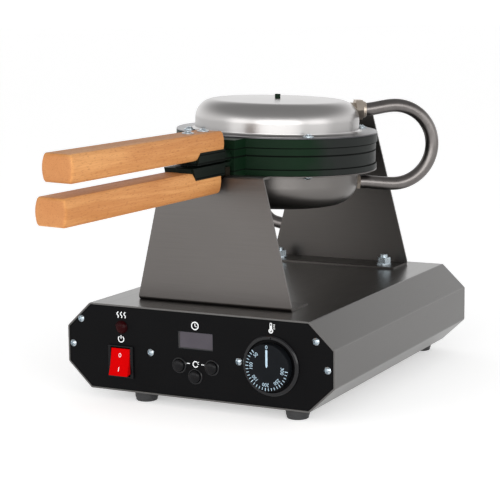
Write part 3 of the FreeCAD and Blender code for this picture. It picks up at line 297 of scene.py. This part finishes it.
nodeFinishes = {
    "housing": ["base_housing", "bottom_plate", "shaft_cap"],
    "upright": ["front_upright"],
    "shadedRearUpright": ["rear_upright"],
    "dome": ["upper_cover", "rear_shaft"],
    "lowerDome": ["lower_cover"],
    "cast": ["lower_pan", "upper_pan", "crown_stud"],
    "panel": ["front_panel", "rear_panel"],
    "zinc": ["bottom_plate_screws", "foot_screws", "panel_fixings", "upright_bolts", "upright_nuts",
             "saddle_screws", "shaft_collar", "hinge_pin", "lower_cover_screws", "upper_cover_screws",
             "lower_handle_screws", "upper_handle_screws"],
    "nickel": ["board_standoffs", "base_conduit_unions", "thermostat_shaft", "lower_union", "upper_union"],
    "bronze": ["front_saddle", "rear_bearing"],
    "hose": ["base_conduit", "conduit_hose"],
    "copper": ["thermostat_capillary"],
    "sheath": ["lower_element", "upper_element"],
    "rubber": ["feet"],
    "black": ["cable_gland", "rocker_switch_body", "button_rings", "knob_index_ring", "display_module",
              "power_relay", "wiring_looms", "button_cap_left", "button_cap_right", "button_cap_lower"],
    "dial": ["knob"],
    "red": ["rocker"],
    "lens": ["indicator_lamp"],
    "screen": ["display_window"],
    "plasticWhite": ["thermostat_body", "terminal_block"],
    "board": ["timer_board"],
    "wood": ["lower_handle", "upper_handle"],
    "fibre": ["lower_insulation", "upper_insulation"],
}
for key, names in nodeFinishes.items():
    for name in names:
        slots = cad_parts[name].data.materials
        slots.clear()
        slots.append(finishes[key].material)
print("stage: finishes made")


def loft(bm, rings, caps=True):
    # skins a row of matching closed rings
    rows = [[bm.verts.new(p) for p in ring] for ring in rings]
    for lower, upper in zip(rows, rows[1:]):
        for i in range(len(lower)):
            j = (i + 1) % len(lower)
            bm.faces.new((lower[i], lower[j], upper[j], upper[i]))
    if caps:
        bm.faces.new(rows[0][::-1])
        bm.faces.new(rows[-1])
    return bm


def circle(radius, height, sides):
    turns = [2 * math.pi * k / sides for k in range(sides)]
    return [Vector((radius * math.cos(t), radius * math.sin(t), height)) for t in turns]


def lathe(profile, sides=64):
    # turns (radius, height) pairs about local z; a radius of 0 closes an end
    bm = loft(bmesh.new(), [circle(r, h, sides) for r, h in profile], False)
    bmesh.ops.remove_doubles(bm, verts=bm.verts, dist=1e-4)
    return bm


def arcPoints(centre, radius, start, end, steps):
    # (radius, height) pairs along an arc, angles in degrees from the local x axis
    turns = [math.radians(start + (end - start) * k / steps) for k in range(steps + 1)]
    return [(centre[0] + radius * math.cos(t), centre[1] + radius * math.sin(t)) for t in turns]


def prism(outline, low, high):
    # extrudes an outline of (x, y) pairs along local z
    return loft(bmesh.new(), [[Vector((x, y, h)) for x, y in outline] for h in (low, high)])


def roundedBox(width, height, radius, steps=5):
    # outline of a rectangle with round corners, about its centre
    points = []
    for sx, sy, start in ((1, 1, 0), (-1, 1, 90), (-1, -1, 180), (1, -1, 270)):
        centre = (sx * (width / 2 - radius), sy * (height / 2 - radius))
        points += arcPoints(centre, radius, start, start + 90, steps)
    return points


def hexNut(acrossFlats, height, chamferR, sides=48):
    # a hexagon whose top corners are cut back by a cone, as a turned nut's are
    def reach(k):
        t = (2 * math.pi * k / sides) % (math.pi / 3) - math.pi / 6
        return acrossFlats / 2 / math.cos(t)
    levels = []
    for step in range(4):
        cut = step / 3
        ring = []
        for k in range(sides):
            full = reach(k)
            r = full + (min(full, chamferR) - full) * cut
            h = height - (full - chamferR if full > chamferR else 0) * 0.6 * (1 - cut)
            turn = 2 * math.pi * k / sides
            ring.append(Vector((r * math.cos(turn), r * math.sin(turn), h)))
        levels.append(ring)
    foot = [Vector((v.x, v.y, 0)) for v in levels[0]]
    return loft(bmesh.new(), [foot] + levels)


def screwHead(radius, height, washerR=0.0, washerH=0.0):
    # a pan head with a cross recess, on its washer; it stands on local z = 0
    sides, rows = 48, 14
    ballR = (radius ** 2 + height ** 2) / (2 * height)
    rings = [circle(radius, washerH, sides)]
    for row in range(rows):
        r = radius * (1 - row / rows) * 0.985
        ring = []
        for k in range(sides):
            turn = 2 * math.pi * k / sides
            x, y = r * math.cos(turn), r * math.sin(turn)
            top = height - ballR + math.sqrt(max(ballR ** 2 - r * r, 0))
            near, far = min(abs(x), abs(y)), max(abs(x), abs(y))
            inside = near < 0.2 * radius and far < 0.66 * radius
            ring.append(Vector((x, y, washerH + max(top, 0.12 * height) - (0.75 * height if inside else 0))))
        rings.append(ring)
    bm = loft(bmesh.new(), rings)
    if washerR:
        merge(bm, lathe([(0, 0), (washerR - 0.1, 0), (washerR, 0.1), (washerR, washerH - 0.15),
                         (washerR - 0.15, washerH), (radius * 0.8, washerH), (0, washerH)], 40))
    return bm


def merge(target, part, place=None):
    # adds a part, moved to its place, to a mesh under construction
    if place is not None:
        part.transform(place)
    scratch = bpy.data.meshes.new("scratch")
    part.to_mesh(scratch)
    part.free()
    target.from_mesh(scratch)
    bpy.data.meshes.remove(scratch)
    return target


def bevel(bm, width, steps, test):
    edges = [e for e in bm.edges if test(e)]
    bmesh.ops.bevel(bm, geom=edges, offset=width, segments=steps, profile=0.5, affect="EDGES",
                    clamp_overlap=True)
    return bm


def isSharp(edge, degrees=40):
    return len(edge.link_faces) == 2 and edge.calc_face_angle(0) > math.radians(degrees)


def tube(points, radius, sides=28):
    # sweeps a circle along points without twisting
    rings = []
    side = None
    for i, p in enumerate(points):
        ahead = (points[min(i + 1, len(points) - 1)] - points[max(i - 1, 0)]).normalized()
        if side is None:
            side = ahead.orthogonal().normalized()
        side = (side - ahead * side.dot(ahead)).normalized()
        other = ahead.cross(side)
        rings.append([p + side * (radius * math.cos(2 * math.pi * k / sides))
                      + other * (radius * math.sin(2 * math.pi * k / sides)) for k in range(sides)])
    return loft(bmesh.new(), rings)


def text(words, size, thick):
    # numerals as a flat mesh, centred, facing local z
    curve = bpy.data.curves.new("numerals", "FONT")
    curve.body = words
    curve.size = size
    curve.align_x = "CENTER"
    curve.align_y = "CENTER"
    curve.extrude = thick
    curve.resolution_u = 3
    holder = bpy.data.objects.new("numerals", curve)
    mesh = bpy.data.meshes.new_from_object(holder)
    bm = bmesh.new()
    bm.from_mesh(mesh)
    bpy.data.meshes.remove(mesh)
    bpy.data.objects.remove(holder)
    bpy.data.curves.remove(curve)
    return bm


def addPiece(name, bm, finish, body, stands=(), place=None, leaning=False, crease=32):
    if place is not None:
        bm.transform(place)
    if leaning:
        bm.transform(lean)
    bmesh.ops.recalc_face_normals(bm, faces=bm.faces)
    bm.transform(toMetres)
    for face in bm.faces:
        face.smooth = True
    for edge in bm.edges:
        edge.smooth = not isSharp(edge, crease)
    mesh = bpy.data.meshes.new(name)
    bm.to_mesh(mesh)
    bm.free()
    mesh.materials.append(finishes[finish].material)
    piece = bpy.data.objects.new(name, mesh)
    bpy.context.scene.collection.objects.link(piece)
    piece.modifiers.new("evenShading", "WEIGHTED_NORMAL").keep_sharp = True
    if body:
        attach(piece, body)
    if stands:
        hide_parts(*stands)
    return piece


def at(x, y, z):
    return Matrix.Translation((x, y, z))


def onPanel(x, z):    # local z stands out of the panel's face
    return at(x, panelY, z) @ outward


def sideName(up):
    return "upper" if up > 0 else "lower"


def flipped(up):    # turns the lower pan's parts upside down
    return Matrix.Identity(4) if up > 0 else Matrix.Rotation(math.pi, 4, "X")


def quarter(steps):    # angles from level to upright
    return [math.pi / 2 * k / steps for k in range(steps + 1)]


feetSettings = {"places": [(-63, -157), (96, -157), (-96, 157), (96, 157)], "height": 10.0}


def makeFeet(s):
    bm = bmesh.new()
    profile = [(0, 4), (4.4, 4), (4.4, 0.4), (4.8, 0), (9.4, 0), (10.2, 0.8), (10.4, 3.0), (10.9, 3.4),
               (11.2, 8.4), (10.8, 9.6), (10.8, s["height"]), (0, s["height"])]
    for x, y in s["places"]:
        merge(bm, lathe(profile, 48), at(x, y, 0))
    addPiece("rubberFeet", bm, "rubber", "base", ["feet"])


makeFeet(feetSettings)

panelScrews = {"places": [(-125.2, 76.6), (-134.7, 51.8), (-48.8, 50.2), (44.0, 50.1), (121.4, 75.6),
                          (132.6, 50.4)],
               "radius": 3.4, "height": 1.85}


def makePanelScrews(s):
    front, rear = bmesh.new(), bmesh.new()
    for i, (x, z) in enumerate(s["places"]):
        turn = Matrix.Rotation(math.radians(17 + 53 * i), 4, "Z")
        merge(front, screwHead(s["radius"], s["height"]), onPanel(x, z) @ turn)
        merge(rear, screwHead(s["radius"], s["height"]),
              at(x, -panelY, z) @ Matrix.Rotation(-math.pi / 2, 4, "X") @ turn)
    addPiece("frontPanelScrews", front, "zinc", "base", ["panel_fixings"])
    addPiece("rearPanelScrews", rear, "zinc", "base")


makePanelScrews(panelScrews)

saddleSettings = {"places": [(-17, 199), (17, 199)], "face": -138.0, "radius": 3.6}


def makeSaddleScrews(s):
    # countersunk and ground flush with the upright
    bm = bmesh.new()
    r = s["radius"]
    for x, z in s["places"]:
        merge(bm, lathe([(0, -4), (1.6, -4), (1.6, -1.8), (r, 0), (r - 0.15, 0.06), (0, 0.06)], 40),
              at(x, s["face"], z) @ outward)
    addPiece("saddleScrews", bm, "upright", "base", ["saddle_screws"])


makeSaddleScrews(saddleSettings)

switchSettings = {"centre": (-80.9, 38.8), "bezel": (27.2, 31.0), "opening": (21.4, 28.0), "proud": 1.6,
                  "deep": 11.0, "rockerHalfWidth": 10.25}


def makeSwitch(s):
    x, z = s["centre"]
    place = onPanel(x, z)
    w, h = s["bezel"]
    ow, oh = s["opening"]
    rings = []
    for width, height, radius, level in ((w, h, 1.6, 0), (w, h, 1.6, s["proud"] - 0.5),
                                         (w - 0.9, h - 0.9, 1.3, s["proud"]),
                                         (ow + 0.7, oh + 0.7, 0.9, s["proud"]),
                                         (ow, oh, 0.6, s["proud"] - 0.4), (ow, oh, 0.6, -s["deep"])):
        rings.append([Vector((px, py, level)) for px, py in roundedBox(width, height, radius)])
    bm = loft(bmesh.new(), rings, False)
    bm.faces.new([v for v in bm.verts if abs(v.co.z + s["deep"]) < 1e-4])
    addPiece("switchBezel", bm, "black", "base", [], place)

    # two hollow facets that meet at the middle, with rounded ends
    half = s["rockerHalfWidth"]
    front = [(7.9, -12.6), (7.3, -11.2), (5.6, -6.4), (4.35, -2.2), (3.9, 0), (3.55, 2.2), (2.75, 6.6),
             (1.9, 11.4), (1.7, 12.6)]
    back = [(-3.5, 9.6), (-4.5, 0), (-3.5, -10.2)]
    rings = []
    for u in (-half, -half + 0.25, -half + 0.8, 0, half - 0.8, half - 0.25, half):
        drop = {half: 0.9, half - 0.25: 0.3}.get(abs(u), 0)
        rings.append([Vector((u, v, out - drop)) for out, v in front]
                     + [Vector((u, v, out)) for out, v in back])
    addPiece("switchRocker", loft(bmesh.new(), rings), "red", "rocker", ["rocker"], place,
             crease=25)

    def facing(bm, v, out, slope):    # lays a mark on a sloping facet
        return merge(bmesh.new(), bm, at(0, v, out) @ Matrix.Rotation(math.radians(slope), 4, "X"))
    turns = [2 * math.pi * k / 32 for k in range(32)]
    ring = loft(bmesh.new(), [[Vector((r * 0.72 * math.cos(t), r * math.sin(t), h)) for t in turns]
                              for r, h in ((1.9, 0), (1.9, 0.12), (1.35, 0.12), (1.35, 0))], False)
    bar = prism(roundedBox(0.65, 4.2, 0.3), 0, 0.12)
    marks = merge(facing(ring, 6.4, 2.82, -10.5), facing(bar, -6.6, 5.72, -18.5))
    addPiece("rockerMarks", marks, "white", "rocker", [], place)


makeSwitch(switchSettings)

lampSettings = {"centre": (-79.9, 71.9), "radius": 6.2}


def makeLamp(s):
    x, z = s["centre"]
    r = s["radius"]
    place = onPanel(x, z)
    profile = [(0, -12), (r - 0.8, -12), (r - 0.8, 0), (r, 0), (r, 0.8), (r - 0.3, 1.1)]
    profile += [(max((r - 0.5) * math.cos(t), 0), 1.1 + 2.7 * math.sin(t)) for t in quarter(10)]
    bm = lathe(profile, 48)
    for v in bm.verts:    # shallow facets moulded into the dome
        if v.co.z > 1.2:
            turn = math.atan2(v.co.y, v.co.x)
            v.co.z += 0.14 * math.cos(8 * turn) * math.hypot(v.co.x, v.co.y) / r
    addPiece("lampLens", bm, "lens", "base", ["indicator_lamp"], place)


makeLamp(lampSettings)

displaySettings = {"centre": (-0.9, 65.2), "size": (36.6, 16.0)}


def makeDisplay(s):
    x, z = s["centre"]
    w, h = s["size"]
    place = onPanel(x, z)
    rings = [[Vector((px, py, level)) for px, py in roundedBox(w + grow, h + grow, 0.5)]
             for grow, level in ((0.9, 0), (0.9, 0.12), (0.25, 0.12), (0.1, -0.1), (0.1, -2.0))]
    addPiece("displayFrame", loft(bmesh.new(), rings, False), "dial", "base", [], place)
    glass = prism(roundedBox(w - 0.3, h - 0.3, 0.4), -2.0, -1.0)
    bevel(glass, 0.15, 2, isSharp)
    addPiece("displayGlass", glass, "screen", "base", ["display_window"], place)
    # a dark strip along the left and bottom of the window, where the gap beside the screen shows dark
    darkStrip = prism([(-w / 2, -h / 2), (w / 2, -h / 2), (w / 2, -h / 2 + 1.0), (-w / 2 + 1.6, -h / 2 + 1.0),
                    (-w / 2 + 1.6, h / 2), (-w / 2, h / 2)], -1.0, -0.7)
    addPiece("displayDarkStrip", darkStrip, "rubber", "base", [], place)


makeDisplay(displaySettings)

buttonSettings = {"places": {"left": (-18.0, 41.1), "right": (16.4, 41.8), "lower": (-1.2, 31.9)},
                  "ring": 7.6, "bore": 6.1, "cap": 5.75}


def makeButtons(s):
    rings = bmesh.new()
    for key, (x, z) in s["places"].items():
        place = onPanel(x, z)
        merge(rings, lathe([(s["bore"], -6), (s["bore"], 0.8), (s["bore"] + 0.2, 1.0), (s["ring"] - 0.5, 1.0),
                            (s["ring"], 0.5), (s["ring"], 0), (6.7, 0), (6.7, -6), (s["bore"], -6)], 56), place)
        r = s["cap"]
        dome = [(0, -5), (r, -5), (r, 2.2)]
        dome += [(r - 0.5 + 0.5 * math.cos(t), 2.2 + 0.5 * math.sin(t)) for t in (0.5, 1.0)]
        dome += [(max((r - 0.5) * math.cos(t), 0), 2.72 + 1.6 * math.sin(t)) for t in quarter(9)[1:]]
        addPiece("buttonCap" + key.title(), lathe(dome, 48), "black", "button_" + key,
                 ["button_cap_" + key], place)
    addPiece("buttonRings", rings, "ring", "base", ["button_rings"])


makeButtons(buttonSettings)

dialSettings = {"centre": (77.0, 49.4), "radius": 21.6, "face": 9.5, "back": 1.7, "ringOut": 28.0,
                "ringIn": 24.4, "firstTick": 43.6, "step": 8.84, "ticks": 26,
                "longTick": (0.7, 3.0), "shortTick": (0.55, 2.6), "numberSize": 4.6, "zeroSize": 5.0,
                "numbers": ["50", "100", "150", "200", "250", "300"]}


def makeDial(s):
    x, z = s["centre"]
    place = onPanel(x, z)
    r, face = s["radius"], s["face"]
    ro, ri = s["ringOut"], s["ringIn"]
    ring = lathe([(ri, 0), (ri, 2.1), (ri + 0.3, 2.4), (ro - 1.3, 2.4), (ro - 1.0, 2.25), (ro, 1.3), (ro, 0)],
                 128)
    for v in ring.verts:    # index notch at the top
        if v.co.z > 2.0 and v.co.y > 0 and abs(v.co.x) < 0.7:
            v.co.z -= 0.9
    addPiece("dialRing", ring, "ring", "base", ["knob_index_ring"], place)
    body = lathe([(0, face - 0.12), (r - 3.9, face - 0.05), (r - 0.9, face), (r - 0.45, face - 0.15),
                  (r, face - 0.8), (r, face - 2.0), (r + 0.15, face - 2.2), (r + 0.15, s["back"] + 0.4),
                  (r - 0.2, s["back"]),
                  (r - 2.2, s["back"]), (r - 2.2, face - 2.6), (0, face - 2.6)], 128)
    addPiece("dialBody", body, "dial", "knob", ["knob"], place)

    marks = bmesh.new()
    top = face + 0.02
    for k in range(s["ticks"]):
        angle = math.radians(s["firstTick"] + s["step"] * k)
        turn = Matrix.Rotation(angle, 4, "Z")
        long = k % 5 == 0
        width, length = s["longTick"] if long else s["shortTick"]
        tick = prism(roundedBox(width, length, 0.2, 2), top - 0.08, top + 0.05)
        merge(marks, tick, turn @ at(0, r - 1.9, 0))
        if long:
            merge(marks, text(s["numbers"][k // 5], s["numberSize"], 0.05), turn @ at(0, r - 6.2, top))
    merge(marks, text("0", s["zeroSize"], 0.05), at(0, r - 2.7, top))
    pointer = [(-1.0, 16.0), (-1.0, 2.2), (-0.45, 0.6), (0, 0.2), (0.45, 0.6), (1.0, 2.2), (1.0, 16.0),
               (0.6, 16.5), (-0.6, 16.5)]
    merge(marks, prism(pointer[::-1], top - 0.08, top + 0.06))
    addPiece("dialMarks", marks, "blueWhite", "knob", [], place, crease=20)


makeDial(dialSettings)


symbolSettings = {"thick": 0.05, "stroke": 0.75, "thin": 0.6, "fine": 0.5, "grow": 1.2, "heat": (-80.2, 83.6),
                  "power": (-80.9, 60.3), "timer": (-0.9, 79.6), "reset": (-0.8, 43.6),
                  "temperature": (77.0, 84.2)}


def strip(points, width, thick):
    # a flat bar of even width through points
    rings = []
    for i, p in enumerate(points):
        ahead = (points[min(i + 1, len(points) - 1)] - points[max(i - 1, 0)]).normalized()
        side = Vector((-ahead.y, ahead.x)) * (width / 2)
        corners = ((p + side, 0), (p - side, 0), (p - side, thick), (p + side, thick))
        rings.append([Vector((q.x, q.y, h)) for q, h in corners])
    return loft(bmesh.new(), rings)


def curvePoints(centre, radius, start, end, steps=28):
    return [Vector(p) for p in arcPoints(centre, radius, start, end, steps)]


def makeSymbols(s):
    bm = bmesh.new()
    thin, fine = s["thin"], s["fine"]

    def draw(points, where, width=s["stroke"]):
        grown = [Vector(p) * s["grow"] for p in points]
        merge(bm, strip(grown, width * s["grow"], s["thick"]), onPanel(*s[where]))

    for k in (-1, 0, 1):    # three rising waves
        draw([(k * 3.2 + 0.7 * math.sin(t * 1.5), t - 2.4) for t in [0.3 * i for i in range(17)]], "heat")
    draw(curvePoints((0, 0), 2.5, 125, 415), "power")    # open ring and bar
    draw([(0, 0.3), (0, 3.1)], "power")
    draw(curvePoints((0, 0), 2.9, 0, 360), "timer")    # a clock face
    draw([(0, 1.9), (0, 0), (1.5, -0.7)], "timer", thin)
    draw(curvePoints((0, -0.2), 2.2, 30, 330), "reset")    # a turning arrow between two dashes
    draw([(2.9, 1.9), (1.5, 1.0), (2.6, -0.3)], "reset", thin)
    for k in (-1, 1):
        draw([(k * 5.0, 0), (k * 7.6, 0)], "reset", thin)
    draw(curvePoints((0, -2.2), 1.5, 120, 420), "temperature")    # a thermometer with its scale
    for x in (-0.75, 0.75):
        draw([(x, -0.9), (x, 3.0)], "temperature", fine)
    draw(curvePoints((0, 3.0), 0.75, 0, 180, 10), "temperature", fine)
    draw([(0, -2.6), (0, 1.6)], "temperature", 0.9)
    for k in range(3):
        draw([(2.0, 2.6 - 1.5 * k), (3.4, 2.6 - 1.5 * k)], "temperature", fine)
    addPiece("panelSymbols", bm, "white", "base")


makeSymbols(symbolSettings)
print("stage: controls made")


handleSettings = {"halfFlat": 12.6, "halfMid": 15.0, "height": 23.2, "off": 5.2, "corner": 1.1,
                  "endRounds": (3.2, 1.0),
                  "spans": {1: (-392.5, -141.0), -1: (-402.0, -145.5)}, "screwY": (-183.0, -155.0)}


def barrel(s, shrink):
    # half-flat top and bottom, bowed sides, in (x, height above the near face)
    h, flat, mid = s["height"], s["halfFlat"], s["halfMid"]
    points = []
    for side in (1, -1):
        for k in range(17):
            t = k / 16
            level = t if side > 0 else 1 - t
            bow = flat + (mid - flat) * (1 - (2 * level - 1) ** 2)
            points.append([side * bow, h * level])
    c = s["corner"]
    for p in points:    # softened corners
        edge = min(p[1], h - p[1])
        if edge < c:
            p[0] -= math.copysign(c - math.sqrt(max(c * c - (c - edge) ** 2, 0)), p[0]) * 0.8
    return [((abs(x) - shrink) * math.copysign(1, x), shrink + y * (h - 2 * shrink) / h) for x, y in points]


def makeHandle(s, up):
    y0, y1 = s["spans"][up]
    outer, inner = s["endRounds"]
    rings = []
    levels = [(y0 + outer * (1 - math.cos(t)), outer * (1 - math.sin(t))) for t in quarter(6)]
    levels += [(y, 0) for y in (y0 + 60, y0 + 120, y0 + 180)]
    levels += [(y1 - inner * (1 - math.cos(t)), inner * (1 - math.sin(t))) for t in quarter(4)[::-1]]
    for y, shrink in levels:
        rings.append([Vector((x, y, axisZ + up * (s["off"] + h))) for x, h in barrel(s, shrink)])
    side = sideName(up)
    bm = loft(bmesh.new(), rings)
    addPiece(side + "Grip", bm, "wood", side + "_pan", [side + "_handle"], None, True, 38)
    screws = bmesh.new()
    for i, y in enumerate(s["screwY"]):
        place = at(0, y, axisZ + up * (s["off"] + s["height"])) @ flipped(up)
        merge(screws, screwHead(4.0, 1.9, 5.6, 0.8), place @ Matrix.Rotation(math.radians(25 + 40 * i), 4, "Z"))
    addPiece(side + "GripScrews", screws, "zinc", side + "_pan", [side + "_handle_screws"],
             None, True)


makeHandle(handleSettings, 1)
makeHandle(handleSettings, -1)
print("stage: handles made")


coverSettings = {"rim": 100.5, "rimThick": 1.2, "dome": 82.0, "screwR": 91.0, "crown": 1.0, "foot": 2.2,
                 1: {"flange": 18.6, "height": 30.6, "shoulder": 19.0, "finish": "dome"},
                 -1: {"flange": 16.4, "height": 36.6, "shoulder": 23.0, "finish": "lowerDome"}}


def makeCover(s, up):
    shape = s[up]
    r, rim, thick, foot, crown = s["dome"], s["rim"], s["rimThick"], s["foot"], s["crown"]
    shoulder, height = shape["shoulder"], shape["height"]
    flat = r - shoulder
    bend = (flat, height - crown - shoulder)    # centre of the shoulder's curve
    profile = [(r - 6, 0), (rim - 0.3, 0), (rim, 0.3), (rim, thick - 0.3), (rim - 0.3, thick)]
    profile += arcPoints((r + foot, thick + foot), foot, 270, 180, 6)
    profile += [(x, thick + y) for x, y in arcPoints(bend, shoulder, 0, 90, 20)]
    profile += [(flat * (1 - k / 8), thick + height - crown * (1 - k / 8) ** 2) for k in range(1, 9)]
    profile += [(0, height - 1.2)]
    profile += [(flat * k / 4, thick + height - 1.0 - crown * (k / 4) ** 2) for k in range(1, 5)]
    profile += [(x, thick + y) for x, y in arcPoints(bend, shoulder - 1.0, 90, 0, 12)]
    profile += [(r - 1.0, thick + 1), (r - 6, 0)]
    side = sideName(up)
    base = at(0, 0, axisZ + up * shape["flange"]) @ flipped(up)
    addPiece(side + "Dome", lathe(profile, 160), shape["finish"], side + "_pan",
             [side + "_cover"], base, True)
    screws = bmesh.new()
    for k in range(4):
        angle = math.radians(45 + 90 * k)
        spot = at(s["screwR"] * math.cos(angle), s["screwR"] * math.sin(angle), thick)
        merge(screws, screwHead(4.0, 2.4, 5.6, 0.9), base @ spot @ Matrix.Rotation(0.4 + k, 4, "Z"))
    addPiece(side + "RimScrews", screws, "zinc", side + "_pan", [side + "_cover_screws"], None, True)


makeCover(coverSettings, 1)
makeCover(coverSettings, -1)
print("stage: covers made")


hoseSettings = {"angle": 36.0, "radius": 6.7, "bend": 121.0, "top": (37.0, 41.5), "low": (-36.0, -38.0),
                "union": {1: {"from": 68.0, "hex": 79.0, "flats": 19.6, "long": 7.5, "collar": 8.7,
                              "end": 90.0},
                          -1: {"from": 74.0, "hex": 82.6, "flats": 13.4, "long": 3.6, "collar": 6.3,
                               "end": 88.0}}}


def makeHose(s):
    angle = math.radians(s["angle"])
    ahead = Vector((math.cos(angle), math.sin(angle), 0))

    def spot(reach, rise):
        return ahead * reach + Vector((0, 0, splitZ + rise))

    def run(start, heights, steps=14):    # leaves the union and reaches the bend level
        points = []
        for k in range(steps + 1):
            t = k / steps
            points.append(spot(start + (s["bend"] - start) * t,
                               heights[0] + (heights[1] - heights[0]) * t * t * (3 - 2 * t)))
        return points
    loop = (s["top"][1] - s["low"][1]) / 2
    middle = (s["top"][1] + s["low"][1]) / 2
    points = run(s["union"][1]["end"] - 3, s["top"])[:-1]
    points += [spot(s["bend"] + x, middle + y) for x, y in arcPoints((0, 0), loop, 90, -90, 56)]
    points += run(s["union"][-1]["end"] - 3, s["low"])[-2::-1]
    hose = addPiece("conduitHose", tube(points, s["radius"]), "hose", None, ["conduit_hose"],
                    None, True)
    low, high = (lean @ spot(s["bend"], h) * 0.001 for h in (s["low"][1], s["top"][1]))
    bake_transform(hose)

    for up, union in s["union"].items():
        rise = s["top"][0] if up > 0 else s["low"][0]
        flats, long = union["flats"], union["long"]
        past, inner = union["end"] - union["hex"], union["from"] - union["hex"]
        thread = flats * 0.36
        bm = bmesh.new()
        merge(bm, hexNut(flats, long, flats / 2 + 0.4), Matrix.Rotation(math.pi / 6, 4, "Z"))
        merge(bm, lathe([(0, inner), (thread, inner), (thread, 0.1), (0, 0.1)], 40))
        collar = union["collar"]
        merge(bm, lathe([(0, long - 0.1), (collar - 0.4, long - 0.1), (collar, long + 0.4),
                         (collar, long + 1.2), (collar - 0.5, long + 1.7),
                         (collar - 0.5, past - 0.6), (collar - 1.1, past), (0, past)], 48))
        side = sideName(up)
        place = (Matrix.Translation(spot(union["hex"], rise)) @ Matrix.Rotation(angle, 4, "Z")
                 @ Matrix.Rotation(math.pi / 2, 4, "Y"))
        addPiece(side + "ConduitUnion", bm, "nickel", side + "_pan", [side + "_union"], place, True)


makeHose(hoseSettings)
print("stage: conduit made")


studio = {"floor": 40.0, "horizon": 1.38, "zenith": 0.43, "dims": (0.14, 0.72), "floorGlow": 0.42}


def makeStudio(s):
    # a lit table, so that shadows stay soft
    floor = Finish("paleFloor", base_color=shade(0.88, 0.88, 0.88), roughness=0.9,
                   emission_strength=s["floorGlow"])
    x, y, _ = floor.axes()
    ahead = x * 0.45 - y * 0.89
    front = ahead.rise(0.48, 1.0) * (1 - ahead.rise(2.0, 4.0))    # painted shade: the floor's glow is left off in a band in front, from about half a metre out, and comes back far out
    floor.set("Emission Color", floor.mix(front, shade(1, 1, 1), shade(0, 0, 0)))
    bm = lathe([(0, 0), (1.0, 0), (4.0, 0), (s["floor"], 0)], 48)
    for face in bm.faces:
        if face.normal.z < 0:
            face.normal_flip()
    mesh = bpy.data.meshes.new("studioFloor")
    bm.to_mesh(mesh)
    bm.free()
    mesh.materials.append(floor.material)
    stage = bpy.data.objects.new("studioFloor", mesh)
    bpy.context.scene.collection.objects.link(stage)

    # a white room that dims overhead
    world = bpy.data.worlds.new("softStudio")
    world.use_nodes = True
    tree = world.node_tree
    ray = addNode(tree, "TexCoord", output="Generated")
    height = addNode(tree, "SeparateXYZ", None, {0: ray}, 2).rise(*s["dims"])
    sky = tree.nodes["Background"].inputs
    connect(tree, sky["Strength"], s["horizon"] - height * (s["horizon"] - s["zenith"]))
    connect(tree, sky["Color"], shade(1, 1, 1))
    bpy.context.scene.world = world
    bpy.context.scene.view_settings.view_transform = "Standard"


def facingTo(place, target):
    return (Vector(target) - Vector(place)).to_track_quat("-Z", "Y")


def hang(data, place, turn):
    holder = bpy.data.objects.new(data.name, data)
    holder.location = place
    holder.rotation_euler = turn.to_euler()
    bpy.context.scene.collection.objects.link(holder)
    return holder


makeStudio(studio)

softboxes = [    # name, direction in degrees, distance, middle height, width, height, radiance
    ("frontBox", -62, 1.75, 0.51, 2.1, 0.84, 2.9),
    ("leftBox", -116, 1.75, 0.51, 1.0, 0.84, 1.5),
    ("rightBox", -7, 1.75, 0.51, 1.0, 0.84, 1.4),
]
for name, direction, distance, middle, width, height, radiance in softboxes:
    lamp = bpy.data.lights.new(name, "AREA")
    lamp.shape = "RECTANGLE"
    lamp.size = width
    lamp.size_y = height
    lamp.energy = radiance * math.pi * width * height
    angle = math.radians(direction)
    place = (distance * math.cos(angle), distance * math.sin(angle), middle)
    hang(lamp, place, facingTo(place, (0, 0, middle)))

cameraSettings = {"place": (0.6769, -1.3894, 0.3653), "target": (-0.02965, -0.0028, 0.12435), "lens": 111.05,
                  "roll": -0.581}
camera = bpy.data.cameras.new("camera")
camera.lens = cameraSettings["lens"]
camera.sensor_width = 36.0
aim = facingTo(cameraSettings["place"], cameraSettings["target"])
roll = Quaternion((0, 0, 1), math.radians(cameraSettings["roll"]))
bpy.context.scene.camera = hang(camera, cameraSettings["place"], aim @ roll)
print("stage: studio made")
